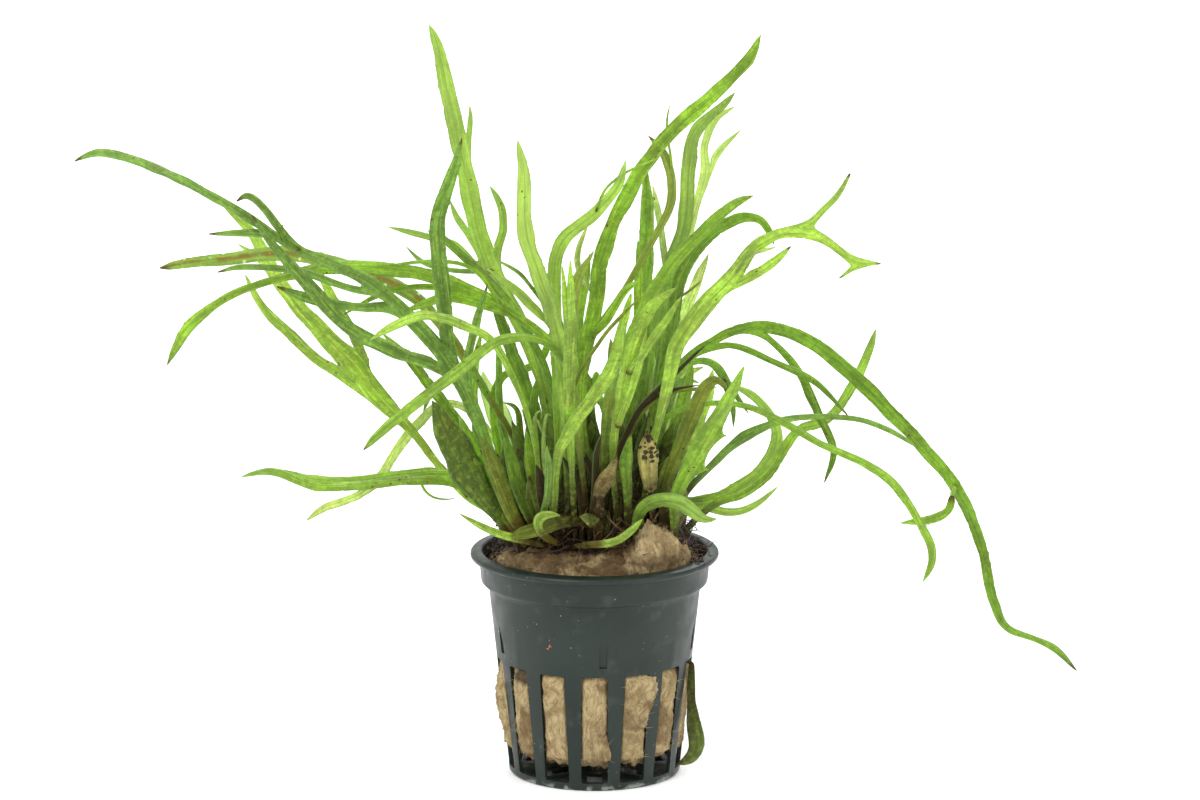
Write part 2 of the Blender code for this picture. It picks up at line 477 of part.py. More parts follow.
def wool_lump(name, cutters):
    """A rounded lump of torn wool."""
    place, size, turn, right, front = WOOL_LUMPS[name]
    matrix = Matrix.Translation(Vector(place) * MM)
    matrix @= Matrix.Rotation(math.radians(turn), 4, "Z")
    matrix @= Matrix.Rotation(math.radians(right), 4, "Y")
    matrix @= Matrix.Rotation(math.radians(front), 4, "X")
    mesh = bpy.data.meshes.new(name)
    shape = bmesh.new()
    bmesh.ops.create_icosphere(shape, subdivisions=2, radius=1,
                               matrix=matrix @ Matrix.Diagonal((*(Vector(size) * MM), 1)))
    shape.to_mesh(mesh)
    shape.free()
    lump = bpy.data.objects.new(name, mesh)
    cutters.objects.link(lump)
    lump.hide_render = True
    lump.display_type = "WIRE"
    return lump


def make_wool(collection, cutters):
    """The wool plug, with the torn lumps that stand up at the front of its top."""
    wool = turned("stone_wool", wool_outline(), WOOL_TURNS, collection,
                  finish("stone wool", (0.50, 0.38, 0.20), 0.95))
    for name in WOOL_LUMPS:
        union = wool.modifiers.new(name, "BOOLEAN")
        union.operation = "UNION"
        union.solver = "EXACT"
        union.object = wool_lump(name, cutters)


def make_rhizome(name, row, collection):
    """A creeping stem that lies on the wool, nearly straight, with blunt ends."""
    curve = bpy.data.curves.new(name, "CURVE")
    curve.dimensions = "3D"
    curve.bevel_depth = RHIZOME_RADIUS
    curve.bevel_resolution = 2
    curve.use_fill_caps = True
    half = RHIZOME_HALF_LENGTH[row]
    count = RHIZOME_POINTS
    spline = curve.splines.new("POLY")
    spline.points.add(count - 1)
    for step, point in enumerate(spline.points):
        along = -half + 2 * half * step / (count - 1)
        sway = RHIZOME_SWAY * math.sin(along / RHIZOME_WAVE + row)
        point.co = (along * MM, (row + sway) * MM, RHIZOME_HEIGHT, 1)
        point.radius = TIP_TAPER if step in (0, count - 1) else 1.0
    new_object(name, curve, collection, finish("rhizome", (0.035, 0.022, 0.012), 0.8))


def row_of(lean):
    """The rhizome that a frond grows on: those that lean forward grow on the front one."""
    if lean < -25:
        return FRONT_ROW
    return MIDDLE_ROW if lean <= 25 else BACK_ROW


def seen_at(across, up, depth):
    """The place, in millimetres, of a point seen at (across, up) that lies at a depth."""
    stretch = 1 - depth / EYE.y
    return Vector((EYE.x + (across - EYE.x) * stretch, depth, EYE.z + (up - EYE.z) * stretch))


def depth_of(lean, across, up):
    """The depth of a frond where it is seen at (across, up): it rises first, then leans."""
    row = row_of(lean) + lean * ROOT_SPREAD
    reach = math.hypot(across - CLUMP_HEART[0], up - CLUMP_HEART[1]) / LEAN_RADIUS
    return row + (lean - row) * reach ** LEAN_GROWTH


def leaning(lean, route, gain=0.0):
    """A route's (place, width) points on a frond's lean, with a gain of depth to its tip."""
    last = len(route) - 1
    return [
        (seen_at(across, up, depth_of(lean, across, up) + gain * step / last), width)
        for step, (across, up, width) in enumerate(route)
    ]


def smooth_run(points):
    """A fine smooth run of (place, width) through a route's points."""
    run = []
    for step in range(len(points) - 1):
        (start, start_width), (end, end_width) = points[step], points[step + 1]
        before = points[max(step - 1, 0)][0]
        after = points[min(step + 2, len(points) - 1)][0]
        handle = (end - start).length / 3
        leave = start + (end - before).normalized() * handle
        arrive = end - (after - start).normalized() * handle
        places = interpolate_bezier(start, leave, arrive, end, STEPS + 1)
        for part, place in enumerate(places[:-1]):
            run.append((place, start_width + (end_width - start_width) * part / STEPS))
    run.append(points[-1])
    return run


def distances(run):
    """How far along the run each of its points is."""
    along = [0.0]
    for (start, _), (end, _) in zip(run, run[1:]):
        along.append(along[-1] + (end - start).length)
    return along


def station(run, along, distance):
    """The place, direction and width at a distance along a run."""
    step = 1
    while step < len(run) - 1 and along[step] < distance:
        step += 1
    (start, start_width), (end, end_width) = run[step - 1], run[step]
    part = (distance - along[step - 1]) / max(along[step] - along[step - 1], 1e-9)
    place = start.lerp(end, part)
    return place, (end - start).normalized(), start_width + (end_width - start_width) * part


def section(place, direction, width, turn):
    """The two edges of a blade at a station, its seen width kept as it turns."""
    across = direction.cross(place - EYE).normalized()
    side = across * math.cos(turn) + direction.cross(across) * math.sin(turn)
    half = side * (width / 2 / math.cos(turn))
    return place + half, place - half


def grow(shape, start, sections):
    """Extrude an edge through a run of sections and return the vertices, pair by pair."""
    pairs = [start]
    for left, right in sections:
        first, second = pairs[-1]
        edge = shape.edges.get((first, second))
        made = bmesh.ops.extrude_edge_only(shape, edges=[edge])["geom"]
        ends = [part for part in made if isinstance(part, bmesh.types.BMVert)]
        ends.sort(key=lambda end: (end.co - first.co).length)
        ends[0].co = left * MM
        ends[1].co = right * MM
        pairs.append((ends[0], ends[1]))
    return pairs


def stops(length, spans):
    """Distances of the stations along a blade: even, and closer where a lobe leaves it."""
    count = max(3, round(length / STATION_GAP))
    even = [length * step / count for step in range(count + 1)]
    for low, high in spans:
        near = (low - LOBE_ROOM, high + LOBE_ROOM)
        even = [stop for stop in even if not near[0] < stop < near[1] or stop in (0, length)]
    return sorted(set(even + [stop for span in spans for stop in span]))


def nearest(run, along, place):
    """The distance along a run of its point nearest to a place."""
    step = min(range(len(run)), key=lambda index: (run[index][0] - place).length)
    return along[step]


def lobe_spans(lobes, run, along):
    """The stretch of the blade that each lobe grows from; two that overlap share theirs."""
    spans = []
    for lobe in lobes:
        start, width = lobe[0]
        half = max(0.9, width * 0.6)
        middle = min(max(nearest(run, along, start), half + 1), along[-1] - half - 1)
        spans.append((middle - half, middle + half))
    for first in range(len(spans)):
        for second in range(first):
            low, high = spans[first]
            other_low, other_high = spans[second]
            if low < other_high + 0.3 and other_low < high + 0.3:
                spans[first] = spans[second] = (min(low, other_low), max(high, other_high))
    return spans


def clears(ends, blade_run, turn):
    """Whether both edges of a lobe's section are outside the blade that bears the lobe."""
    for end in ends:
        place, width = min(blade_run, key=lambda point: (point[0] - end).length)
        if (end - place).length < width / 2 / math.cos(turn) + LOBE_GAP:
            return False
    return True


def add_lobe(shape, start_pairs, base, turn, lobe, blade_run):
    """Extrude a lobe from the edge of a blade that is nearest to where the lobe goes."""
    lower, upper = start_pairs
    run = smooth_run([base] + lobe[1:])
    along = distances(run)
    length = along[-1]
    aim = station(run, along, min(length, LOBE_AIM))[0]
    middles = [(lower[side].co + upper[side].co) / 2 / MM for side in (0, 1)]
    side = 0 if (middles[0] - aim).length < (middles[1] - aim).length else 1
    start = (lower[side], upper[side])
    skip = (middles[side] - base[0]).length + 1
    while skip < length / 2:
        if clears(section(*station(run, along, skip), turn), blade_run, turn):
            break
        skip += LOBE_STEP
    count = max(1, round((length - skip) / STATION_GAP))
    first_ends = section(*station(run, along, skip), turn)
    straight = sum((end - vertex.co / MM).length for end, vertex in zip(first_ends, start))
    crossed = sum((end - vertex.co / MM).length
                  for end, vertex in zip(reversed(first_ends), start))
    sections = []
    for step in range(count + 1):
        distance = skip + (length - skip) * step / count
        ends = section(*station(run, along, distance), turn)
        sections.append(ends if straight < crossed else ends[::-1])
    grow(shape, start, sections)


def make_blade(name, colour, points, turns, lobes, collection):
    """A frond: a thin leaf on a smooth run of points, with its lobes."""
    run = smooth_run(points)
    along = distances(run)
    length = along[-1]
    spans = lobe_spans(lobes, run, along)
    stations = stops(length, spans)
    turn_at = [math.radians(turns[0] + (turns[1] - turns[0]) * stop / length)
               for stop in stations]
    sections = [section(*station(run, along, stop), turn)
                for stop, turn in zip(stations, turn_at)]
    shape = bmesh.new()
    first = shape.verts.new(sections[0][0] * MM)
    second = shape.verts.new(sections[0][1] * MM)
    shape.edges.new((first, second))
    pairs = grow(shape, (first, second), sections[1:])
    for (low, high), lobe in zip(spans, lobes):
        index = stations.index(low)
        place, _, width = station(run, along, (low + high) / 2)
        add_lobe(shape, pairs[index:index + 2], (place, width), turn_at[index], lobe, run)
    bmesh.ops.recalc_face_normals(shape, faces=shape.faces)
    mesh = bpy.data.meshes.new(name)
    shape.to_mesh(mesh)
    shape.free()
    leaf = new_object(name, mesh, collection, finish(f"leaf {TINTS[colour]}", colour, 0.45))
    wall = leaf.modifiers.new("Thickness", "SOLIDIFY")
    wall.thickness = BLADE * MM
    wall.offset = 0


def make_fronds(collection):
    for name, colour, root, lean, turns, route, lobes in FRONDS:
        base = Vector((root, row_of(lean) + lean * ROOT_SPREAD, ROOT_HEIGHT))
        points = [(base, STALK_WIDTH)] + leaning(lean, route)
        placed = [leaning(lean, lobe, gain) for gain, lobe in lobes]
        make_blade(name, colour, points, turns, placed, collection)
    for name, colour, turns, route in PLACED_LEAVES:
        points = [(seen_at(across, up, depth), width) for across, up, width, depth in route]
        make_blade(name, colour, points, turns, [], collection)


def main():
    clear_scene()
    collection = new_collection("Potted trident java fern")
    cutters = new_collection("Cutters")
    make_pot(collection, cutters)
    make_wool(collection, cutters)
    make_rhizome("rhizome_front", FRONT_ROW, collection)
    make_rhizome("rhizome_middle", MIDDLE_ROW, collection)
    make_rhizome("rhizome_back", BACK_ROW, collection)
    make_fronds(collection)


main()
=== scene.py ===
"""The looks of a potted trident java fern: a net pot packed with stone wool, and the fern on it.

Metres, +Z up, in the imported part's own frame: the origin is the centre of the pot's
underside and -Y is the front. Each frond is a thin blade on the same smooth run as its
solid, with a raised midrib, thin wavy margins and lobes that grow out of its edges.
"""

import math
import random

import bmesh
import bpy
from mathutils import Matrix, Vector, noise
from mathutils.geometry import interpolate_bezier

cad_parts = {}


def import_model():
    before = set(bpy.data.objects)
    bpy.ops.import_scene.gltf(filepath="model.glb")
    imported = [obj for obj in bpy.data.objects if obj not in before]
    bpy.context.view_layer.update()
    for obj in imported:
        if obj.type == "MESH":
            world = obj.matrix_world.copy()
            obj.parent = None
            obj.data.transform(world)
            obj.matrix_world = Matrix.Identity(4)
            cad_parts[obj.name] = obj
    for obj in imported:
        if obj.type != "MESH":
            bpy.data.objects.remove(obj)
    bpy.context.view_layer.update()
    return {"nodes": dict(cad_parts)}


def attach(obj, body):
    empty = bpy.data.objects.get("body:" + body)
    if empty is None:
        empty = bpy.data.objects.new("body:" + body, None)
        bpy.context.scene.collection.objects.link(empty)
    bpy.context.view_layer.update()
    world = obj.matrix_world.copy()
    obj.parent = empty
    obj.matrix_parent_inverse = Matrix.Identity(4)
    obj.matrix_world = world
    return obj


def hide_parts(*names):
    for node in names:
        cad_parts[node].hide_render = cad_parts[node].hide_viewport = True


MM = 0.001

# The net pot, a 5 cm aquarium pot
POT_HEIGHT = 50.5
LIP_RADIUS = 27.5
LIP_ROUND = 0.75
MOUTH_RADIUS = 25.2
COLLAR_RADIUS = 25.5
COLLAR_FOOT = 43.0
WALL = 0.8
WALL_TOP_RADIUS = 23.45
WALL_TOP = 42.5
BASE_RADIUS = 18.85
FLOOR = 1.2
TURNS = 168
SLOTS = 14
SLOT_WIDTH = 5.85
SLOT_LOW = 1.8
SLOT_HIGH = 26.6
NOTCHES = 5
NOTCH_WIDTH = 1.7
NOTCH_LOW = 28.6
NOTCH_HIGH = 35.2
NOTCH_DEPTH = 0.5
FIRST_NOTCH = math.radians(5)
FLOOR_SLOTS = 7
FLOOR_SLOT_WIDTH = 3.4
FLOOR_SLOT_REACH = (7.0, 15.5)
FLOOR_MIDDLE = FLOOR_SLOT_REACH[0] - 3
SPECK_ANGLE = math.radians(-26)
SPECK_HEIGHT = 33.5

# The stone wool and the rhizomes that lie on it
WOOL_LOW = 5.0
WOOL_TOP = 49.2
WOOL_VOXEL = 0.45
TORN_OVER = 2.6
FIBRE_TRIES = 2800
CURLING_ROOTS, OLD_STUBS, ROOT_HAIRS, DEAD_FIBRES = 150, 120, 1100, 240
RIM_ROOTS = {1: 34, -1: 18}
CLEARANCE = 0.35
RHIZOME_RADIUS = 2.2
RHIZOME_HEIGHT = WOOL_TOP + CLEARANCE + RHIZOME_RADIUS
RHIZOME_SWAY = 0.9
RHIZOME_WAVE = 5.0
RHIZOME_CUTS = 56
FRONT_ROW, MIDDLE_ROW, BACK_ROW = -9.0, 0.0, 9.0
RHIZOME_HALF_LENGTH = {FRONT_ROW: 20.5, MIDDLE_ROW: 21.5, BACK_ROW: 20.5}

# The fronds. A route's points are read as they look from the front, on the plane y = 0,
# from an eye this far back and up. Depth moves a point along its line of sight.
EYE = Vector((1.2, -1462.7, 416.4))
EYE_TILT = 12.8
EYE_LENS = 204.5
ROW_LEAN = 25
LEAN_RADIUS = 85.0
LEAN_GROWTH = 1.3
ROOT_SPREAD = 0.02
CLUMP_HEART = (0.0, 52.0)
STATION_GAP = 2.4
LOBE_GAP = 0.4
LOBE_STEP = 0.5
LOBE_AIM = 4.0
STEPS = 10
THICKEST = 0.8
THINNEST_SHARE = 0.16
ROUNDNESS = 0.6
TIP_WIDTH = 0.15
STALK_WIDTH, BLADE_WIDTH = 1.2, 2.0
GUTTER = 0.11
WAVE_LENGTH = 4.2
WAVE = 0.5
RAGGED = 0.30
TWIST = 34.0
CLUMP_BLADES = 190
ROOTED_UNDER = 55
STRAND_SEED, PLACED_SEED, CLUMP_SEED = 200, 280, 300

# Blade colours, as linear red, green and blue
BRIGHT = (0.370, 0.550, 0.085)
MID = (0.275, 0.455, 0.046)
DARK = (0.200, 0.350, 0.036)
TEAL = (0.235, 0.395, 0.078)
PALE = (0.46, 0.62, 0.21)
OLIVE = (0.24, 0.30, 0.034)
SLATE = (0.150, 0.240, 0.030)
TAN = (0.38, 0.31, 0.12)
BARK = (0.055, 0.032, 0.009)
TINTS = {
    BRIGHT: "bright", MID: "mid", DARK: "dark", TEAL: "teal",
    PALE: "pale", OLIVE: "olive", SLATE: "slate", TAN: "tan",
}
CLUMP_TINTS = (DARK, OLIVE, SLATE, DARK, MID, OLIVE, SLATE, TEAL, DARK, SLATE)
RIB_BROWN = (0.13, 0.075, 0.016)
DEEP_BROWN = (0.030, 0.016, 0.007)
RUST = (0.26, 0.15, 0.025)
# Painted shade, with some grime, for the heart of the clump
CLUMP_SHADE_AND_GRIME = (0.05, 0.034, 0.010)
PALE_LEAF = (0.44, 0.57, 0.19)
PALE_DOT = (0.70, 0.72, 0.50)
# Painted sheen: a paler, bluish green on blade margins for the sheen they catch at grazing angles
MARGIN_SHEEN_GREEN = (0.26, 0.42, 0.17)
GLOW = (1.55, 1.5, 0.75)

# Each frond: name, colour, root along X, lean (its depth at the lean radius), turn of the
# blade at its root and tip in degrees, the route as (across, up, seen width), and the lobes
# as (depth gained at the tip, route), where a lobe's route starts on the blade that bears
# it. All lengths are millimetres.
FRONDS = [
    ("frond_left_1", TEAL, -15.5, -28, (10, 50),
     [(-20, 62, 1.4), (-24, 75, 2.6), (-31, 91, 3.4), (-40, 102, 3.2), (-50, 111, 2.6),
      (-64.6, 117.7, 1.8), (-80, 127.7, 1.6), (-96.3, 136.2, 1.7), (-108, 139.6, 1.4),
      (-113.5, 137.5, 0.4)],
     [(0, [(-67.5, 119.6, 1.6), (-71, 125.4, 1.6), (-75.9, 130.2, 1.5), (-78.2, 128.6, 0.5)]),
      (0, [(-71, 121.2, 1.4), (-77, 121.6, 1.5), (-84.4, 121.3, 0.5)]),
      (-8, [(-31.3, 91.2, 3), (-38, 93, 3), (-46, 96, 3), (-54, 100.4, 3),
            (-61.8, 109, 2.8), (-70.5, 119, 1.8), (-75, 125.6, 0.4)]),
      (4, [(-43.5, 104.9, 2.2), (-51, 104.9, 2.2), (-62.7, 106.9, 2.4), (-69.6, 109.6, 0.5)]),
      (-2, [(-47.5, 108.6, 1.4), (-53, 109, 1.5), (-64.6, 113, 1.4), (-78, 114, 1.0),
            (-82.6, 112.8, 0.4)]),
      (-6, [(-32.3, 92.8, 3), (-32.6, 102, 3.4), (-33.9, 114, 3.6), (-34.2, 124.2, 3.3),
            (-30.6, 136.2, 2.2), (-28.9, 142.6, 0.4)]),
      (2, [(-29.3, 87.5, 1.8), (-26.4, 100, 2.0), (-23.5, 110, 0.4)])]),
    ("frond_left_2", OLIVE, -9, 6, (20, 30),
     [(-14, 68, 1.1), (-24, 86, 1.5), (-34.3, 101.9, 2.4), (-41.7, 108.8, 3.0),
      (-51.5, 112.8, 3.2), (-66, 116.9, 3.2), (-79.7, 115.8, 2.8), (-91, 114.6, 2.2),
      (-95.3, 113.6, 0.4)], []),
    ("frond_left_3", MID, 3, -22, (15, 30),
     [(3.9, 73, 1.3), (0.2, 86.3, 1.5), (-11, 98.2, 1.8), (-24.4, 107.5, 2.4),
      (-38, 112.4, 3.0), (-57.8, 113.8, 2.8), (-75.9, 109.3, 1.4), (-83.5, 105.3, 2.0),
      (-89.6, 99.9, 2.5), (-94, 92, 0.4)],
     [(3, [(-27.5, 109, 1.2), (-38.2, 109.6, 1.2), (-46.8, 107.9, 1.2), (-55, 103.3, 0.4)]),
      (-3, [(-23.5, 106.8, 1.6), (-32, 107.4, 2), (-37.5, 105.6, 1.8), (-42, 104, 0.4)])]),
    ("frond_left_4", BRIGHT, -19.5, 38, (10, 35),
     [(-27.7, 61.5, 1.1), (-32.7, 67, 1.2), (-40.1, 77, 2), (-46.7, 83.8, 4),
      (-52.4, 91.4, 6), (-57, 96.3, 4.4), (-65.8, 106, 3.2), (-70.3, 113, 3),
      (-75.2, 121.9, 2.4), (-80.9, 127.4, 0.4)],
     [(5, [(-49.5, 87.6, 3), (-60.2, 92.6, 2.3), (-66.5, 98.6, 2.3), (-73, 105.2, 2.0),
           (-76.6, 112.3, 0.4)]),
      (-5, [(-50.6, 89, 2.6), (-53.2, 99.3, 2.2), (-57.5, 107, 2.2), (-61.5, 115, 0.4)]),
      (0, [(-71.4, 116.5, 1.4), (-78, 119, 0.4)])]),
    ("frond_left_5", SLATE, -18.5, -34, (5, 20),
     [(-21.5, 58, 3), (-24.9, 63, 5), (-28.2, 68, 7.5), (-31, 74, 7), (-34, 80, 4),
      (-35.8, 84, 0.4)], []),
    ("frond_left_6", DARK, -15.6, 30, (20, 10),
     [(-19, 62, 3), (-22.3, 69, 4.6), (-25.4, 75, 3), (-27, 79, 0.4)], []),
    ("frond_left_7", MID, -2.6, -60, (20, 40),
     [(-3, 76, 1.1), (-6, 91, 1.2), (-11.5, 97.4, 1.3), (-20.6, 97.6, 2), (-29.4, 91, 2.6),
      (-39.3, 83.2, 2.4), (-47.9, 76.2, 1.8), (-50.8, 72.6, 0.4)], []),
    ("frond_left_8", MID, -16.5, -8, (20, 40),
     [(-22, 64, 1.2), (-30.2, 67.4, 1.8), (-40.5, 67.4, 2.2), (-51.7, 65.8, 2.2),
      (-62.4, 66, 2), (-70.3, 68.4, 0.4)], []),
    ("frond_left_9", MID, -19.5, -24, (30, 40),
     [(-24, 61, 1.2), (-30.2, 64.9, 1.8), (-38.5, 66, 2), (-50.9, 64.9, 2.2),
      (-61.2, 64.5, 2), (-71.5, 68, 1.4), (-78, 66.6, 0.4)], []),
    ("frond_left_10", PALE, -11.2, 62, (20, 35),
     [(-18, 68, 1.1), (-26, 80.5, 1.3), (-33, 83.5, 1.8), (-38.5, 79.1, 2.2),
      (-42.7, 74, 2.2), (-47.2, 66.8, 2.0), (-52.9, 62.1, 2), (-59.9, 59.6, 1.6),
      (-63.6, 56.8, 0.4)], []),
    ("frond_left_11", MID, -14, 18, (30, 30),
     [(-20, 64, 1.2), (-26, 73, 2.5), (-34.4, 85, 2.5), (-40.9, 93.4, 2),
      (-46.8, 99.4, 0.4)], []),
    ("frond_left_12", BRIGHT, -11.3, -50, (30, 35),
     [(-12, 66, 0.9), (-14.4, 79.5, 0.9), (-18.6, 90.6, 1.2), (-23.3, 98.2, 1.6),
      (-28.4, 100.7, 1.9), (-37, 103.2, 1.9), (-44.9, 100.3, 1.6), (-49.3, 97.7, 0.4)], []),
    ("frond_left_13", MID, -13.4, 48, (35, 20),
     [(-18, 64, 1.1), (-20.5, 71, 2.0), (-22, 80, 2.2), (-21.8, 86.5, 2.0),
      (-19.4, 90.3, 1.4), (-15.4, 90.9, 1.4), (-11.5, 93.5, 2.1), (-8.8, 101.8, 0.4)], []),
    ("frond_left_14", MID, -17.6, 80, (30, 20),
     [(-20.5, 66, 1.1), (-24.7, 74.4, 2), (-26.7, 83.7, 2.2), (-26.3, 91.7, 2),
      (-24.8, 100, 0.4)], []),
    ("frond_back_1", PALE, -9, 100, (25, 25),
     [(-15, 66, 1.8), (-18.5, 74, 4.6), (-20.8, 80, 5.6), (-23.4, 86, 3.6),
      (-24.6, 90.5, 0.4)], []),
    ("frond_top_1", MID, -7, 22, (10, 30),
     [(-8, 64, 1.3), (-9.3, 75.2, 2.4), (-11.8, 89.7, 3.2), (-16.6, 101.9, 3.6),
      (-24, 116.8, 4), (-27.9, 134.2, 4), (-31.4, 150.2, 3.6), (-34.1, 163, 2.6),
      (-35.9, 167.8, 0.4)],
     [(0, [(-28.9, 140, 1.2), (-27, 146, 1.2), (-27.2, 149.8, 0.4)]),
      (4, [(-25.3, 120.8, 1.4), (-29.8, 124.3, 1.5), (-31.6, 129, 0.4)]),
      (-5, [(-22.9, 114.6, 1.8), (-19.9, 122, 1.9), (-20.6, 128.2, 1.9), (-22.9, 132, 0.4)]),
      (6, [(-23.8, 116.2, 1.6), (-32, 119.5, 1.6), (-39.4, 121.5, 1.5), (-45, 122.8, 0.4)])]),
    ("frond_top_2", DARK, -4, 10, (30, 30),
     [(-6, 68, 1.1), (-9, 86, 1.2), (-14, 98, 1.5), (-20.5, 108, 1.8), (-28.4, 116, 1.8),
      (-34.3, 121.2, 1.4), (-36.6, 122.2, 0.4)], []),
    ("frond_top_3", BRIGHT, -5.8, -55, (10, 35),
     [(-6.2, 68, 1.2), (-6.9, 84, 2), (-8, 97.8, 3), (-11.5, 110, 3.4), (-15.2, 122, 3.4),
      (-15.5, 134.2, 2.8), (-16.8, 142.3, 0.4)],
     [(3, [(-8.8, 100.6, 1.8), (-13.2, 104.6, 1.8), (-17.3, 108.8, 1.8), (-23.6, 113.6, 0.4)])]),
    ("frond_top_4", MID, -7.6, -42, (25, 20),
     [(-8, 70, 1.2), (-8.3, 86, 1.8), (-8.5, 100, 2.8), (-8.9, 108.8, 3), (-7.6, 118.8, 3),
      (0.3, 126.3, 2.6), (5.3, 132.2, 2), (6.8, 137.8, 0.4)], []),
    ("frond_top_5", MID, 0.8, -34, (20, 30),
     [(-1, 68, 1.2), (-3, 80, 2), (-2.2, 94, 3), (0.3, 106, 3.4), (1.7, 116.7, 3.4),
      (6.1, 128, 3.2), (14.8, 142, 3), (25.2, 151.7, 2.9), (33.5, 160.1, 2.4),
      (36.1, 165.6, 0.4)], []),
    ("frond_top_6", OLIVE, -1, -15, (20, 20),
     [(-2, 72, 1.1), (-2.2, 86, 1.1), (-1, 97, 1.2), (6.9, 109.5, 1.2), (13.5, 121.4, 1.4),
      (17.1, 130, 2), (15.2, 139, 1.9), (11.7, 143.2, 0.4)], []),
    ("frond_top_7", DARK, 3, 30, (10, 20),
     [(6, 68, 1.2), (9, 82, 2.4), (10.6, 96.4, 3.3), (11.2, 115.5, 3.4), (11.5, 128, 2.9),
      (10.9, 138.6, 0.4)], []),
    ("frond_top_8", DARK, 5.2, 42, (15, 25),
     [(8, 68, 1.2), (10.5, 84, 1.8), (13, 102, 2.8), (16.5, 114, 3.2), (19.8, 124, 3.3),
      (20.6, 137.8, 3.2), (22.3, 144.5, 2.8), (28.1, 150, 1.8), (30.6, 152.8, 0.4)], []),
    ("frond_top_9", PALE, 7.6, 56, (30, 20),
     [(10, 70, 1.1), (14, 92, 1.4), (19, 114, 1.6), (21.9, 126.8, 2), (24.3, 135.5, 2.2),
      (23.9, 140.7, 1.8), (26.4, 147, 1.6), (30.6, 149.6, 0.4)],
     [(4, [(24.2, 134.6, 1.6), (27, 139.6, 1.6), (31.9, 144.5, 0.4)])]),
    ("frond_top_10", MID, 4, -27, (30, 30),
     [(2, 70, 1.1), (3.2, 86, 1.6), (8.1, 98.8, 2.4), (14.4, 111.2, 2.8), (23.9, 122.2, 2.6),
      (31, 128.4, 2), (34.8, 129.9, 0.4)], []),
    ("frond_top_11", DARK, 10, -2, (15, 35),
     [(12, 72, 1.1), (14.8, 89.1, 2.2), (16.9, 99.7, 3), (18.9, 112, 3), (24.7, 120.6, 2.8),
      (31, 124.6, 2.4), (35.9, 125, 1.8), (38.6, 121.4, 1.3), (39.3, 119, 0.4)], []),
    ("frond_top_12", BRIGHT, 9.4, -48, (10, 40),
     [(13, 74, 1.2), (15.8, 86, 2.4), (18.1, 96.3, 3.6), (24.8, 106, 3.8), (31, 112.8, 3.4),
      (34, 117.3, 2.6), (40.5, 121.4, 2.5), (48.8, 121, 2.2), (56.5, 115.4, 1.8),
      (62.8, 114.8, 0.4)],
     [(-4, [(29.5, 111.3, 2.2), (35.6, 112.6, 2.2), (39.6, 115.4, 1.8), (43, 118.6, 0.4)]),
      (4, [(46, 121.8, 1.2), (50.5, 127.2, 1.1), (53, 129.7, 1.1), (55.8, 134.8, 0.4)]),
      (0, [(57, 115.2, 1), (53.6, 111.5, 0.4)])]),
    ("frond_front_1", BRIGHT, -9.4, -95, (15, 15),
     [(-8.8, 62, 1.3), (-7.9, 72, 2), (-5, 78, 2.8), (-0.2, 84.8, 3), (4.4, 93, 2.8),
      (6.3, 101.8, 0.4)], []),
    ("frond_front_2", BRIGHT, -4.2, -82, (20, 20),
     [(-5, 68, 1.2), (-5.5, 82, 2.8), (-5.2, 100, 3), (-5.3, 115.5, 0.4)], []),
    ("frond_front_3", OLIVE, -1, -74, (25, 15),
     [(-3, 70, 1.2), (-5, 88, 2), (-5.1, 100.6, 2.6), (-3.8, 111, 2.4), (-0.2, 117.4, 0.4)],
     []),
    ("frond_front_4", BRIGHT, 5.6, -76, (20, 20),
     [(4, 70, 1.1), (5.6, 84, 2.4), (9.4, 98.9, 2.9), (13.1, 105.7, 2.4), (17.9, 109.3, 0.4)],
     []),
    ("frond_back_2", DARK, 1, 96, (15, 15),
     [(6, 70, 1.2), (12.4, 83, 3), (13.4, 95, 3), (13.5, 104, 0.4)], []),
    ("frond_back_3", MID, 10, 74, (20, 20),
     [(13, 70, 1.1), (16.5, 84, 2.6), (17, 96, 2.8), (16.5, 106, 0.4)], []),
    ("frond_right_1", DARK, 6, -12, (10, 50),
     [(5.9, 72.3, 1.3), (9.4, 80, 1.4), (17, 90, 1.6), (24.7, 96.7, 1.9), (34.3, 100.6, 2.3),
      (44.7, 98.6, 2.8), (54.6, 91.6, 3.2), (67, 79.3, 2.9), (79.5, 64.6, 2.6),
      (85.4, 51.3, 2.3), (88.4, 38.3, 2), (91.2, 32.3, 1.4), (96.5, 30.2, 1),
      (102, 27.7, 1.4), (107, 22.4, 0.4)],
     [(-3, [(23.5, 96, 1.2), (31, 96.3, 1.2), (39.7, 92.5, 1.3), (48.4, 88.3, 1.3),
            (55.9, 80.4, 0.4)]),
      (10, [(35.5, 100.3, 1.2), (41.3, 95, 1.2), (45.5, 89.5, 1.8), (49.6, 80.2, 2),
            (52.8, 72.5, 1.6), (50.7, 65.4, 0.4)])]),
    ("frond_right_2", MID, 11.2, -30, (20, 30),
     [(11.4, 66, 1), (13.5, 78, 1), (22.3, 82.9, 1), (33, 82.8, 1.1), (41.8, 78.9, 1.4),
      (50.1, 74, 1.2), (59.7, 69.7, 1.6), (65.9, 65.2, 2), (72.1, 55.8, 1.5),
      (75, 48.5, 1.9), (72.7, 42.8, 0.4)], []),
    ("frond_right_3", MID, 20, 14, (20, 30),
     [(26.4, 60.5, 1.6), (33, 63, 2), (38.9, 67.8, 2.2), (42.2, 73.8, 2.2), (45.1, 77.6, 2),
      (51, 79.4, 2), (57.1, 87.9, 2.2), (60.8, 96.6, 1.6), (61.7, 100, 0.4)], []),
    ("frond_right_4", OLIVE, 16.2, 34, (20, 30),
     [(18.5, 60.8, 1.3), (23.5, 61.2, 2.6), (29.7, 62.7, 3.2), (36.4, 67.8, 2.9),
      (40.3, 75, 2.6), (38.9, 80.2, 2.1), (34.7, 85.3, 1.7), (30, 87.3, 0.4)], []),
    ("frond_right_5", TEAL, 15, -23, (20, 30),
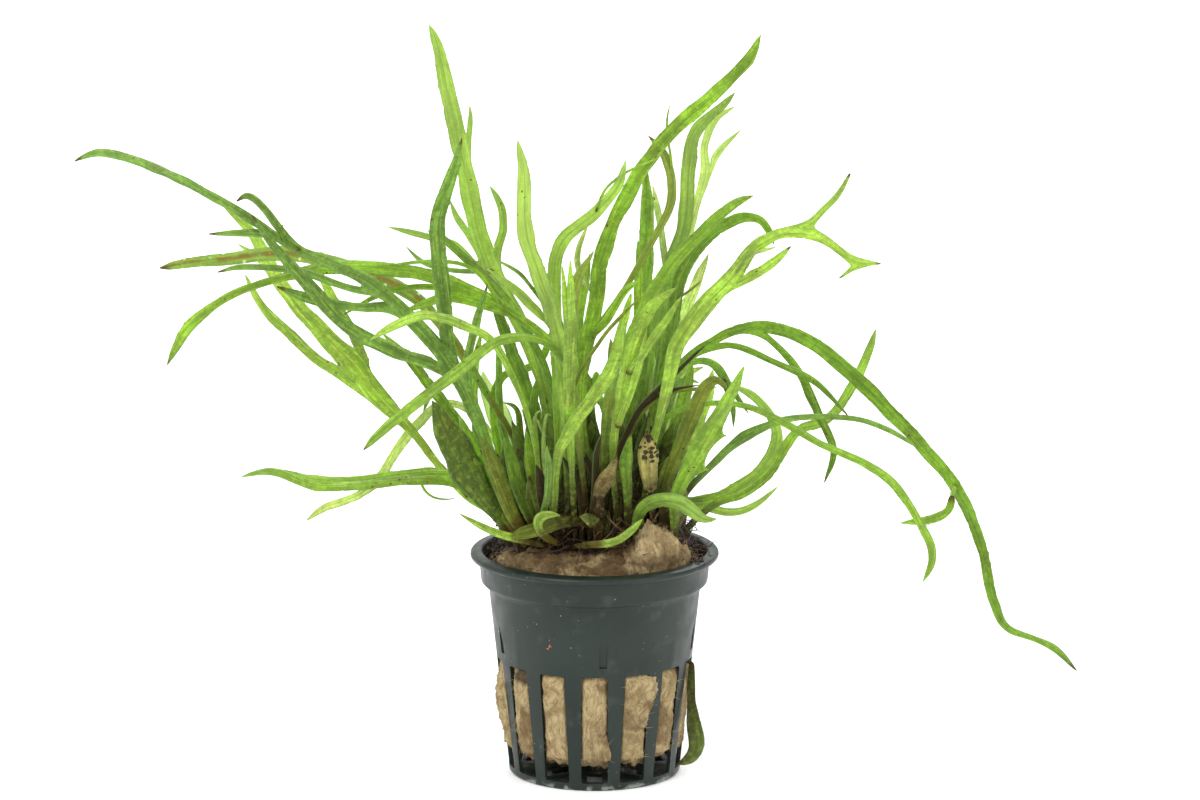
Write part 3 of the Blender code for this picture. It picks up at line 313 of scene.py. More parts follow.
     [(21, 64, 1), (27.3, 70.8, 1.6), (32.5, 75.5, 2.5), (38, 78.3, 1.6), (45.1, 80.2, 1.1),
      (57.6, 79.8, 1.1), (65.9, 76.8, 1), (70.9, 73.4, 0.4)], []),
    ("frond_right_6", OLIVE, 19.6, 60, (30, 30),
     [(21.4, 60.4, 1.3), (24.5, 59.8, 1.8), (30.6, 58.6, 1.6), (35.5, 60.3, 1.2),
      (40.5, 64.5, 0.4)], []),
    ("frond_right_8", TEAL, 12, 46, (20, 25),
     [(14, 70, 1.1), (16, 84, 1.2), (19.8, 91.7, 1.4), (25.6, 92.7, 1.8), (28.9, 88.3, 1.8),
      (33.9, 81.1, 0.4)], []),
    ("frond_right_9", OLIVE, 15, -44, (15, 20),
     [(15.6, 64.3, 2.2), (18.6, 72.9, 3), (21.9, 81.5, 3.6), (24.4, 87, 3.2), (27, 89, 2.2),
      (29.4, 85.7, 0.4)], []),
    ("frond_right_10", TEAL, 17.4, -60, (15, 20),
     [(18.1, 62.6, 2.8), (21.9, 70.4, 4.3), (26.5, 79, 3.8), (30.6, 86.6, 2.4),
      (32.9, 91.6, 0.4)],
     [(0, [(24.6, 75.4, 1.6), (29, 76, 0.4)]), (0, [(21.2, 69, 1.4), (25.2, 68.2, 0.4)])]),
    ("frond_right_11", PALE, 14.2, 92, (20, 20),
     [(14.4, 70.4, 2.4), (16.9, 83.6, 3), (19.5, 89.5, 2.4), (23.9, 91.5, 0.4)], []),
    ("young_leaf_4", DARK, 7.4, -98, (15, 15),
     [(7.2, 65, 2.2), (6.9, 70.5, 3), (8.1, 76.5, 0.4)], []),
    ("young_leaf_5", TEAL, -13.2, -110, (20, 20),
     [(-10.4, 62.4, 1.4), (-10.1, 68.4, 1.8), (-10.6, 73.9, 0.4)], []),
    ("dead_leaf", TAN, 2.4, -108, (15, 15),
     [(0.8, 61.6, 2.8), (2.5, 66, 3.7), (5, 71.4, 0.4)], []),
]

# Leaves near the rim, each placed point by point: (across, up, seen width, depth)
PLACED_LEAVES = [
    ("spotted_leaf", PALE, (10, 10),
     [(13.3, 51.9, 1, -10.6), (12.9, 58, 1.4, -12), (12.3, 64, 2.4, -17),
      (12, 68.5, 4.2, -20), (11.8, 72.5, 5, -22), (11.6, 76.2, 2.4, -23.6),
      (11.6, 77, 0.6, -24)]),
    ("frond_right_7", BRIGHT, (40, 20),
     [(9.6, 51.9, 1.4, -12.4), (9.4, 56, 2.2, -12.7), (11, 60, 3.0, -17),
      (17, 61.4, 3.4, -23.5), (21.4, 59.3, 3.2, -27), (24, 57, 2.4, -29), (27, 57.2, 0.4, -30)]),
    ("young_leaf_1", BRIGHT, (20, 20),
     [(-7.6, 51.4, 1.2, -13), (-10.2, 52.6, 1.5, -17), (-12.6, 55.4, 2.2, -20),
      (-11.6, 58.2, 2.9, -21), (-7.6, 57.9, 0.6, -20)]),
    ("young_leaf_2", BRIGHT, (20, 20),
     [(-5, 50.8, 0.8, -13), (-1.9, 51.2, 1.4, -16.5), (4.8, 52, 1.8, -18.5),
      (8.6, 55, 1.6, -19.8), (10.6, 57.2, 0.4, -20.8)]),
    ("young_leaf_3", BRIGHT, (20, 20),
     [(-10.4, 50.9, 1.1, -14), (-16, 52.3, 1.4, -17), (-23.5, 54.6, 1.6, -20),
      (-29.9, 58.4, 0.4, -21)]),
    ("hanging_leaf", MID, (10, 10),
     [(21.5, 24.4, 1.2, -6), (21.5, 20.5, 1.6, -6.2), (21.5, 15.2, 2.2, -6.5),
      (21.9, 10.9, 3.0, -7), (22.7, 6.5, 3.6, -8), (22.5, 3.6, 3.4, -9),
      (20.6, 1.5, 2.2, -10), (18.3, 0.9, 0.8, -10.5)]),
    ("plantlet_leaf", MID, (20, 20),
     [(78.9, 62.4, 1.2, -21), (78.4, 58.9, 2, -21.5), (73.5, 56.9, 2, -22),
      (67.5, 56.2, 0.4, -22.5)]),
]

# Fronds that another finish suits better than their own tint's
SPECIAL_FINISHES = {
    "frond_back_1": "hazy",
    "frond_left_2": "rusty",
    "frond_right_4": MID,
    "frond_right_6": BRIGHT,
    "frond_right_7": "right",
    "frond_right_10": MID,
    "hanging_leaf": SLATE,
    "spotted_leaf": "spotted",
    "young_leaf_1": "young",
    "young_leaf_2": "young",
    "young_leaf_3": "young",
}

# How far a frond's stalk and tip are brown, in millimetres, and how pale it grows to its tip
PLAIN_MARKS = (14, 0, 0.05)
UNROOTED_MARKS = (0.5, 0, 0.05)
MARKS = {
    "frond_left_1": (12, 4, 0),
    "frond_left_2": (40, 5, 0.35),
    "frond_left_3": (42, 1.5, 0.1),
    "frond_left_4": (10, 0, 0.15),
    "frond_left_7": (26, 2, 0.2),
    "frond_left_8": (6, 0, 0.2),
    "frond_left_9": (6, 0, 0.2),
    "frond_left_10": (8, 0, 0.3),
    "frond_left_12": (8, 0, 0.2),
    "frond_back_1": (4, 0, 0.9),
    "frond_top_1": (14, 0, 0.6),
    "frond_top_3": (12, 0, 0.85),
    "frond_top_4": (14, 0, 0.55),
    "frond_top_6": (46, 3, 0.3),
    "frond_top_8": (14, 0, 0.4),
    "frond_top_9": (12, 0, 0.5),
    "frond_top_10": (12, 0, 0.2),
    "frond_top_12": (12, 2, 0.2),
    "frond_front_3": (30, 0, 0.3),
    "frond_right_1": (46, 4, 0.1),
    "frond_right_2": (34, 0, 0.2),
    "frond_right_3": (5, 0, 0.25),
    "frond_right_4": (8, 2, 0.45),
    "frond_right_6": (8, 0, 0.35),
    "frond_right_7": (6, 0, 0.5),
    "frond_right_9": (22, 2, 0.1),
    "frond_right_10": (8, 0, 0.2),
    "dead_leaf": (7, 5, 0.1),
    "young_leaf_4": (14, 2, 0),
    "spotted_leaf": (6, 5, 0.1),
    "hanging_leaf": (0.5, 3, 0.25),
    "plantlet_leaf": (1, 0, 0.2),
}


def clamp(share):
    return min(max(share, 0), 1)


def row_of(lean):
    """The rhizome that a frond grows on: those that lean forward grow on the front one."""
    if lean < -ROW_LEAN:
        return FRONT_ROW
    return MIDDLE_ROW if lean <= ROW_LEAN else BACK_ROW


def rhizome_line(x, row):
    """The middle of a rhizome, which sways a little along its row."""
    return Vector((x, row + RHIZOME_SWAY * math.sin(x / RHIZOME_WAVE + row), RHIZOME_HEIGHT))


def seen_at(across, up, depth):
    """The place, in millimetres, of a point seen at (across, up) that lies at a depth."""
    stretch = 1 - depth / EYE.y
    return Vector((EYE.x + (across - EYE.x) * stretch, depth, EYE.z + (up - EYE.z) * stretch))


def placed(route):
    """The (place, width) points of a route that gives its own depths."""
    return [(seen_at(across, up, depth), width) for across, up, width, depth in route]


def depth_of(lean, across, up):
    """The depth of a frond where it is seen at (across, up): it rises first, then leans."""
    row = row_of(lean) + lean * ROOT_SPREAD
    reach = math.hypot(across - CLUMP_HEART[0], up - CLUMP_HEART[1]) / LEAN_RADIUS
    return row + (lean - row) * reach ** LEAN_GROWTH


def leaning(lean, route, gain=0.0):
    """A route's (place, width) points on a frond's lean, with a gain of depth to its tip."""
    last = len(route) - 1
    return placed(
        (across, up, width, depth_of(lean, across, up) + gain * step / last)
        for step, (across, up, width) in enumerate(route)
    )


def smooth_run(points):
    """A fine smooth run of (place, width) through a route's points."""
    run = []
    for step in range(len(points) - 1):
        (start, start_width), (end, end_width) = points[step], points[step + 1]
        before = points[max(step - 1, 0)][0]
        after = points[min(step + 2, len(points) - 1)][0]
        handle = (end - start).length / 3
        leave = start + (end - before).normalized() * handle
        arrive = end - (after - start).normalized() * handle
        places = interpolate_bezier(start, leave, arrive, end, STEPS + 1)
        for part, place in enumerate(places[:-1]):
            run.append((place, start_width + (end_width - start_width) * part / STEPS))
    run.append(points[-1])
    return run


def distances(run):
    """How far along the run each of its points is."""
    along = [0.0]
    for (start, _), (end, _) in zip(run, run[1:]):
        along.append(along[-1] + (end - start).length)
    return along


def station(run, along, distance):
    """The place, direction and width at a distance along a run."""
    step = 1
    while step < len(run) - 1 and along[step] < distance:
        step += 1
    (start, start_width), (end, end_width) = run[step - 1], run[step]
    part = (distance - along[step - 1]) / max(along[step] - along[step - 1], 1e-9)
    place = start.lerp(end, part)
    return place, (end - start).normalized(), start_width + (end_width - start_width) * part


def section(place, direction, width, turn):
    """The two edges of a blade at a station, its seen width kept as it turns."""
    across = direction.cross(place - EYE).normalized()
    side = across * math.cos(turn) + direction.cross(across) * math.sin(turn)
    half = side * (width / 2 / math.cos(turn))
    return place + half, place - half


# Objects


def pick(item):
    """Select one object alone."""
    bpy.ops.object.select_all(action="DESELECT")
    bpy.context.view_layer.objects.active = item
    item.select_set(True)


def edit(item):
    """Edit one object, with all of its mesh selected."""
    pick(item)
    bpy.ops.object.mode_set(mode="EDIT")
    bpy.ops.mesh.select_all(action="SELECT")


def leave_edit():
    bpy.ops.object.mode_set(mode="OBJECT")


def turn_out(item):
    """Turn all of a mesh's faces outwards."""
    edit(item)
    bpy.ops.mesh.normals_make_consistent(inside=False)
    leave_edit()


def merge_close(item, reach):
    edit(item)
    bpy.ops.mesh.remove_doubles(threshold=reach)
    leave_edit()


def apply_modifier(item, kind, **settings):
    modifier = item.modifiers.new(kind.title(), kind)
    for key, value in settings.items():
        setattr(modifier, key, value)
    bpy.context.view_layer.objects.active = item
    bpy.ops.object.modifier_apply(modifier=modifier.name)


def smooth_shade(item):
    pick(item)
    bpy.ops.object.shade_smooth()


def settle(item):
    """Put an object's place into its mesh, so that the object itself sits at the origin."""
    pick(item)
    bpy.ops.object.transform_apply(location=True, rotation=True, scale=True)


def join(items, name):
    pick(items[0])
    for item in items:
        item.select_set(True)
    bpy.ops.object.join()
    items[0].name = name
    return items[0]


def wear(item, material):
    item.data.materials.clear()
    item.data.materials.append(material)


def dress(item, material, slot, *nodes):
    """Finish a piece, which rides with the plant and pot and stands for the solids named."""
    wear(item, material)
    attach(item, "root")
    if nodes:
        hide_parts(*nodes)


# Materials


class Shader:
    """A material's node tree, with short calls for the nodes that the finishes share."""

    def __init__(self, name):
        self.material = bpy.data.materials.new(name)
        self.material.use_nodes = True
        self.tree = self.material.node_tree
        self.principled = self.tree.nodes["Principled BSDF"]
        self.place = self.node("TexCoord", {}).outputs["Object"]

    def node(self, kind, inputs, **settings):
        """A new node, its inputs given by name or number."""
        made = self.tree.nodes.new("ShaderNode" + kind)
        for key, value in settings.items():
            setattr(made, key, value)
        for key, value in inputs.items():
            self.put(made.inputs[key], value)
        return made

    def put(self, target, value):
        """Give a socket a value, or the output of another node."""
        if isinstance(value, bpy.types.NodeSocket):
            self.tree.links.new(value, target)
        elif isinstance(value, tuple) and target.type == "RGBA":
            target.default_value = (*value, 1)
        else:
            target.default_value = value

    def split(self, vector):
        """The X, Y and Z of a vector."""
        outputs = self.node("SeparateXYZ", {"Vector": vector}).outputs
        return outputs["X"], outputs["Y"], outputs["Z"]

    def combined(self, x, y, z=0.0):
        return self.node("CombineXYZ", {"X": x, "Y": y, "Z": z}).outputs["Vector"]

    def blade_map(self, name):
        """The two numbers of a frond's map."""
        return self.split(self.node("UVMap", {}, uv_map=name).outputs["UV"])[:2]

    def noise(self, vector, scale, detail=3.0, rough=0.55):
        inputs = {"Vector": vector, "Scale": scale, "Detail": detail, "Roughness": rough}
        return self.node("TexNoise", inputs).outputs["Fac"]

    def cells(self, vector, scale, feature="F1"):
        inputs = {"Vector": vector, "Scale": scale}
        return self.node("TexVoronoi", inputs, feature=feature).outputs["Distance"]

    def ramp(self, value, low, high, start=0.0, end=1.0):
        """A smooth step from start at low to end at high."""
        inputs = {"Value": value, "From Min": low, "From Max": high, "To Min": start, "To Max": end}
        return self.node("MapRange", inputs, interpolation_type="SMOOTHSTEP").outputs["Result"]

    def patchy(self, vector, scale, low, high, start=0.0, end=1.0, detail=3.0, rough=0.55):
        """Noise, stepped from start at low to end at high."""
        return self.ramp(self.noise(vector, scale, detail, rough), low, high, start, end)

    def dots(self, vector, scale, low, high, share):
        """Round dots that fade out from low to high."""
        return self.ramp(self.cells(vector, scale), low, high, share, 0)

    def math(self, operation, first, second=0.0):
        return self.node("Math", {0: first, 1: second}, operation=operation).outputs["Value"]

    def times(self, product, *others):
        for other in others:
            product = self.math("MULTIPLY", product, other)
        return product

    def mix(self, share, first, second, blend="MIX"):
        inputs = {"Factor": share, 6: first, 7: second}
        return self.node("Mix", inputs, data_type="RGBA", blend_type=blend).outputs[2]

    def layered(self, color, *layers):
        """A colour under layers, each a (share, colour)."""
        for share, over in layers:
            color = self.mix(share, color, over)
        return color

    def stretched(self, vector, scale):
        return self.node("Mapping", {"Scale": scale, "Vector": vector}).outputs["Vector"]

    def warped(self, place, scale, reach):
        """Coordinates that wander by up to half of a reach."""
        wander = self.node("TexNoise", {"Vector": place, "Scale": scale}).outputs["Color"]
        inputs = {0: wander, 1: (reach, reach, reach), 2: place}
        return self.node("VectorMath", inputs, operation="MULTIPLY_ADD").outputs["Vector"]

    def length(self, vector, origin=(0, 0, 0)):
        """How far a place is from an origin."""
        inputs = {0: vector, 1: origin}
        return self.node("VectorMath", inputs, operation="DISTANCE").outputs["Value"]

    def bump(self, height, strength, distance, under=None):
        inputs = {"Strength": strength, "Distance": distance, "Height": height}
        if under is not None:
            inputs["Normal"] = under
        return self.node("Bump", inputs).outputs["Normal"]

    def finish(self, color, roughness, specular=0.5, relief=None):
        """Fill in the surface and give the material."""
        inputs = self.principled.inputs
        self.put(inputs["Base Color"], color)
        self.put(inputs["Roughness"], roughness)
        self.put(inputs["Specular IOR Level"], specular)
        if relief is not None:
            self.put(inputs["Normal"], relief)
        return self.material

    def shine_through(self, color, share):
        """Mix in a share of light that passes through the surface."""
        through = self.node("BsdfTranslucent", {"Color": color}).outputs["BSDF"]
        inputs = {0: share, 1: self.principled.outputs["BSDF"], 2: through}
        shader = self.node("MixShader", inputs).outputs["Shader"]
        self.put(self.tree.nodes["Material Output"].inputs["Surface"], shader)


def shade(color, share):
    return tuple(part * share for part in color)


def rusted(leaf, color, off_rib, pale):
    """A rib gone rusty in places, and small pale dots where the leaf is pale."""
    rust = leaf.patchy(leaf.place, 260, 0.42, 0.54, detail=4, rough=0.7)
    dots = leaf.dots(leaf.place, 430, 0.14, 0.20, 0.7)
    return leaf.layered(
        color,
        (leaf.times(rust, leaf.ramp(off_rib, 0.18, 0.55, 0.7, 0)), RUST),
        (leaf.times(dots, leaf.ramp(pale, 0.15, 0.25)), PALE_DOT),
    )


def clump_shade_and_grime_share(leaf):
    """Painted shade, with some grime, at the heart of the clump just over the wool: darker nearer
    its middle and lower down.
    """
    x, y, z = leaf.split(leaf.place)
    flat = leaf.combined(leaf.math("SUBTRACT", x, 0.003), leaf.math("SUBTRACT", y, 0.001))
    near = leaf.ramp(leaf.length(flat), 0.014, 0.028, 1, 0)
    low_down = leaf.ramp(z, 0.057, 0.090, 1.3, 0)
    patchy = leaf.patchy(leaf.place, 620, 0.30, 0.60, 0.3, 1, 5, 0.65)
    return leaf.math("MINIMUM", leaf.times(near, low_down, patchy), 0.95)


def speck_share(leaf, spots):
    """Dark specks, or close black spots."""
    low, high = (0.40, 0.47) if spots else (0.57, 0.64)
    specks = leaf.dots(leaf.warped(leaf.place, 900, 0.0012), 600 + 500 * spots,
                       0.14 + spots, 0.20 + spots, 0.92)
    return leaf.times(specks, leaf.patchy(leaf.place, 110, low, high, detail=2))


def leaf_finish(name, tint, spots=0.0, patches=0.5, rusty=False, shaded_and_grimy=True):
    """A thin leaf: streaked green with a rib and veins, a painted sheen on its margins, browned
    ends, painted shade and grime at the clump's heart, and light through it.
    """
    leaf = Shader(name)
    place = leaf.place
    across, along = leaf.blade_map("blade")
    brown, pale = leaf.blade_map("tone")
    off_rib = leaf.times(leaf.math("ABSOLUTE", leaf.math("SUBTRACT", across, 0.5)), 2.0)
    light = tuple(min(part * gain, 0.8) for part, gain in zip(tint, (1.75, 1.5, 1.9)))
    aged = (tint[0] * 0.85, tint[1] * 0.55, tint[2] * 0.6)
    deep = shade(tint, 0.45)
    long_map = leaf.combined(leaf.times(across, 9.0), leaf.times(along, 120.0),
                             leaf.times(leaf.split(place)[1], 60.0))
    streaks = leaf.noise(long_map, 1.0, 5, 0.65)
    bands = leaf.noise(leaf.stretched(long_map, (0.36, 0.45, 1)), 1.0, 2)
    edges = leaf.cells(leaf.warped(place, 500, 0.0009), 560, "DISTANCE_TO_EDGE")
    veins = leaf.ramp(edges, 0.02, 0.11, 1, 0)
    color = leaf.layered(
        shade(tint, 0.62),
        (leaf.patchy(place, 70, 0.36, 0.64), shade(tint, 1.18)),
        (leaf.patchy(leaf.warped(place, 90, 0.008), 130, 0.64 - patches / 5, 0.70, 0, patches,
                     4, 0.6), aged),
        (leaf.ramp(streaks, 0.50, 0.66, 0, 0.60), light),
        (leaf.ramp(streaks, 0.36, 0.49, 0.55, 0), deep),
        (leaf.ramp(bands, 0.52, 0.66, 0, 0.45), light),
        (leaf.ramp(bands, 0.34, 0.48, 0.45, 0), shade(tint, 0.55)),
        (leaf.patchy(place, 480, 0.46, 0.57, 0, 0.7 * patches, 4, 0.65), deep),
        (leaf.patchy(place, 800, 0.53, 0.62, 0, 0.6 * patches, 3, 0.7), light),
        (leaf.times(veins, 0.25), shade(tint, 0.5)),
        (leaf.times(pale, leaf.ramp(streaks, 0.3, 0.6, 0.6, 1)), PALE_LEAF),
        # Painted sheen: the blade's margins paler and bluish, as they look at grazing angles
        (leaf.ramp(off_rib, 0.82, 1.0, 0, 0.45), MARGIN_SHEEN_GREEN),
        (leaf.ramp(off_rib, 0.05, 0.13, 0.36, 0), deep),
    )
    if rusty:
        color = rusted(leaf, color, off_rib, pale)
    browned = leaf.math("ADD", brown, leaf.times(leaf.noise(place, 520, 4), 0.9))
    color = leaf.layered(
        color,
        (leaf.ramp(browned, 0.85, 1.25, 0, 0.85), RIB_BROWN),
        (leaf.ramp(browned, 1.30, 1.60, 0, 0.9), DEEP_BROWN),
        (speck_share(leaf, spots), DEEP_BROWN if spots else RIB_BROWN),
    )
    # Painted shade with some grime: the clump's heart darkened low down near its middle
    if shaded_and_grimy:
        color = leaf.mix(clump_shade_and_grime_share(leaf), color, CLUMP_SHADE_AND_GRIME)
    leaf.shine_through(leaf.mix(1.0, color, GLOW, "MULTIPLY"), 0.5)
    relief = leaf.math("ADD", leaf.times(veins, -0.5), streaks)
    return leaf.finish(color, leaf.patchy(place, 260, 0.3, 0.7, 0.35, 0.52), 0.22,
                       leaf.bump(relief, 0.5, 0.0003))


def pot_finish():
    """Moulded plastic: satin, faintly ringed, with dust, specks and fine scratches."""
    pot = Shader("moulded pot plastic")
    place = pot.place
    dust = pot.times(pot.dots(place, 700, 0.05, 0.10, 0.7), pot.patchy(place, 150, 0.50, 0.60))
    flecks = pot.times(pot.dots(place, 260, 0.045, 0.07, 0.8),
                       pot.patchy(place, 70, 0.56, 0.60, detail=2))
    scuffs = pot.times(pot.ramp(pot.split(place)[2], 0.0004, 0.0016, 0.55, 0),
                       pot.patchy(place, 380, 0.48, 0.60, detail=4))
    color = pot.layered(
        (0.008, 0.015, 0.011),
        (pot.patchy(place, 60, 0.35, 0.7, detail=4), (0.013, 0.022, 0.017)),
        (pot.math("MAXIMUM", dust, flecks), (0.36, 0.38, 0.33)),
        (pot.patchy(place, 210, 0.55, 0.75, 0, 0.10, 4), (0.15, 0.17, 0.15)),
        (scuffs, (0.40, 0.42, 0.38)),
    )
    rings = pot.bump(pot.noise(pot.stretched(place, (0.05, 0.05, 1)), 900, 2), 0.25, 0.00006)
    scratches = pot.noise(pot.stretched(place, (1, 1, 0.06)), 2600, 2)
    return pot.finish(color, pot.patchy(place, 240, 0.3, 0.7, 0.34, 0.48, 4), 0.31,
                      pot.bump(scratches, 0.18, 0.00004, rings))


def wet_share(wool):
    """How wet and brown the wool is: most in the middle of its top, least on the torn flap."""
    x, _, z = wool.split(wool.place)
    middle = wool.math("ABSOLUTE", wool.math("ADD", x, 0.001))
    torn = wool.times(wool.ramp(x, 0.007, 0.010, 0, 0.9), wool.ramp(z, 0.0525, 0.0545, 0, 1))
    return wool.times(
        wool.ramp(z, 0.044, 0.050, 0, 0.92),
        wool.ramp(middle, 0.007, 0.013, 1, 0.7),
        wool.patchy(wool.place, 210, 0.32, 0.52, detail=5, rough=0.6),
        wool.math("SUBTRACT", 1.0, torn),
    )


def wool_finish(name, light, dim, stain):
    """Matted mineral fibre with painted shade in soft folds, paler where it is torn and stained
    brown in patches.
    """
    wool = Shader(name)
    place = wool.place
    swirled = wool.warped(place, 110, 0.009)
    fibres = wool.noise(wool.stretched(swirled, (1, 1, 0.22)), 1500, 5, 0.7)
    # Painted shade: patches a little darker, standing in for the shade in soft folds of the wool
    fold_shade_place = wool.warped(place, 60, 0.012)
    slot_stain = wool.length(swirled, (-0.0122, -0.0090, 0.0293))
    color = wool.layered(
        dim,
        (wool.ramp(fibres, 0.34, 0.62), light),
        (wool.patchy(fold_shade_place, 170, 0.44, 0.66, 0, 0.75, 4, 0.6), shade(dim, 0.85)),
        (wool.patchy(place, 120, 0.53, 0.66, 0, 0.7, 4), stain),
        (wool.ramp(slot_stain, 0.0018, 0.0038, 0.85, 0), (0.035, 0.024, 0.014)),
        (wet_share(wool), (0.085, 0.050, 0.022)),
    )
    return wool.finish(color, 0.95, 0.15, wool.bump(fibres, 0.8, 0.0006))


def bark_finish(name, light, dark):
    """Dark scaly skin of rhizomes and roots."""
    bark = Shader(name)
    scales = bark.ramp(bark.cells(bark.place, 700), 0.2, 0.7)
    patches = bark.patchy(bark.place, 300, 0.42, 0.66, detail=4)
    color = bark.mix(bark.times(scales, patches), dark, light)
    return bark.finish(color, 0.7, relief=bark.bump(scales, 0.5, 0.0003))


def clouded_finish(name, scale, low, high, dim, light, roughness, specular=0.5):
    """One colour that drifts into another."""
    cloud = Shader(name)
    color = cloud.mix(cloud.patchy(cloud.place, scale, low, high, detail=2), dim, light)
    return cloud.finish(color, roughness, specular)


# Fronds


def strip(name, rows):
    """A flat strip of quads, two wide, and its vertices row by row."""
    bpy.ops.mesh.primitive_grid_add(x_subdivisions=2, y_subdivisions=rows, size=1)
    item = bpy.context.active_object
    item.name = name
    order = sorted(item.data.vertices, key=lambda vertex: (round(vertex.co.y, 4), vertex.co.x))
    indices = [vertex.index for vertex in order]
    return item, [indices[row * 3:row * 3 + 3] for row in range(rows + 1)]


def blade_share(width):
    """0 where a frond is a stalk and 1 where it is a flat blade."""
    return clamp((width - STALK_WIDTH) / (BLADE_WIDTH - STALK_WIDTH))


def frills(along, seed):
    """How far each edge of a blade stands out there, as grown blades vary."""
    shares = []
    for side in (0, 40):
        slow = noise.noise(Vector((along / 6.5, seed, side)))
        quick = noise.noise(Vector((along / 2.7, seed + 20, side)))
        shares.append(1 + RAGGED * (slow + 0.45 * quick))
    return shares


def across_at(run, along, distance, turn, gutter, seed):
    """A blade's left edge, midrib and right edge at a distance along its run, and its width."""
    place, direction, width = station(run, along, distance)
    if distance >= along[-1]:
        width = TIP_WIDTH
    first, second = section(place, direction, width, turn)
    normal = direction.cross(first - second).normalized()
    middle = place + normal * (gutter * width * blade_share(width))
    left, right = frills(distance, seed)
    return (place + (first - place) * left, middle, place + (second - place) * right), width


def turn_at(turns, share, along, seed):
    """The turn of a blade about its own line, which eases from root to tip and wanders."""
    wander = TWIST * noise.noise(Vector((along / 17, seed, 90))) * min(along / 20, 1)
    return math.radians(turns[0] + (turns[1] - turns[0]) * share + wander)


def rib_weights(width):
    """The thickness of a blade at its edges and its midrib, as shares of the thickest."""
    flat = blade_share(width)
    size = min(width * ROUNDNESS / THICKEST, 1)
    return 0.75 * (1 - flat) * size, (1 - 0.48 * flat) * size


class Cage:
    """A frond's coarse mesh: where its vertices go and what its maps say there."""

    def __init__(self, item):
        self.item = item
        self.across = [{}]
        self.weights = {}

    def lay(self, row, places, width, along, tone):
        """Place a row of the newest part of the blade."""
        vertices = self.item.data.vertices
        edge, middle = rib_weights(width)
        for index, place, share, weight in zip(row, places, (0, 0.5, 1), (edge, middle, edge)):
            vertices[index].co = place * MM
            self.across[-1][index] = (share, along * MM, *tone)
            self.weights.setdefault(index, weight)

    def map_faces(self):
        """Write the blade map and the tone map, and the weights of the thickness."""
        mesh = self.item.data
        mesh.uv_layers[0].name = "blade"
        blade = mesh.uv_layers["blade"]
        tone = mesh.uv_layers.new(name="tone")
        for face in mesh.polygons:
            part = next(
                places for places in reversed(self.across)
                if all(index in places for index in face.vertices)
            )
            for loop, index in zip(face.loop_indices, face.vertices):
                share, along, brown, pale = part[index]
                blade.data[loop].uv = (share, along)
                tone.data[loop].uv = (brown, pale)
        group = self.item.vertex_groups.new(name="rib")
        for index, weight in self.weights.items():
            group.add([index], weight, "REPLACE")


def tip_brown(marks, to_tip):
    """How brown a blade is near its tip."""
    tip = marks[1]
    return max(1 - to_tip / tip, 0) if tip else 0


def tone_of(marks, along, length):
    """How brown and how pale a blade is at a distance along it."""
    stalk, _, pale = marks
    brown = max(1.5 * (1 - along / stalk), tip_brown(marks, length - along))
    return min(brown, 1), pale * min(along / length * 1.3, 1)


def free_row(rows, wanted, taken):
    """The middle row of three that no lobe on that side has taken, nearest to the wanted one."""
    choices = [row for row in range(1, rows) if not {row - 1, row, row + 1} & taken]
    return min(choices or range(1, rows), key=lambda row: abs(row - wanted))


def nearest(run, along, place):
    step = min(range(len(run)), key=lambda index: (run[index][0] - place).length)
    return along[step]


def clears(ends, blade_run, turn):
    """Whether both edges of a lobe's section are outside the blade that bears the lobe."""
    for end in ends:
        place, width = min(blade_run, key=lambda point: (point[0] - end).length)
        if (end - place).length < width / 2 / math.cos(turn) + LOBE_GAP:
            return False
    return True


def extrude_edge_strip(item, start, sections):
    """Extrude three border vertices through a run of sections; returns the new rows."""
    edit(item)
    cage = bmesh.from_edit_mesh(item.data)
    bpy.ops.mesh.select_mode(type="EDGE")
    bpy.ops.mesh.select_all(action="DESELECT")
    cage.verts.ensure_lookup_table()
    row = [cage.verts[index] for index in start]
    for first, second in zip(row, row[1:]):
        cage.edges.get((first, second)).select = True
    rows = []
    for places in sections:
        before = [vertex.co.copy() for vertex in row]
        bpy.ops.mesh.extrude_edges_move()
        cage = bmesh.from_edit_mesh(item.data)
        picked = [vertex for vertex in cage.verts if vertex.select]
        row = [min(picked, key=lambda vertex: (vertex.co - co).length) for co in before]
        for vertex, place in zip(row, places):
            vertex.co = place * MM
        rows.append([vertex.index for vertex in row])
    bmesh.update_edit_mesh(item.data)
    leave_edit()
    return rows


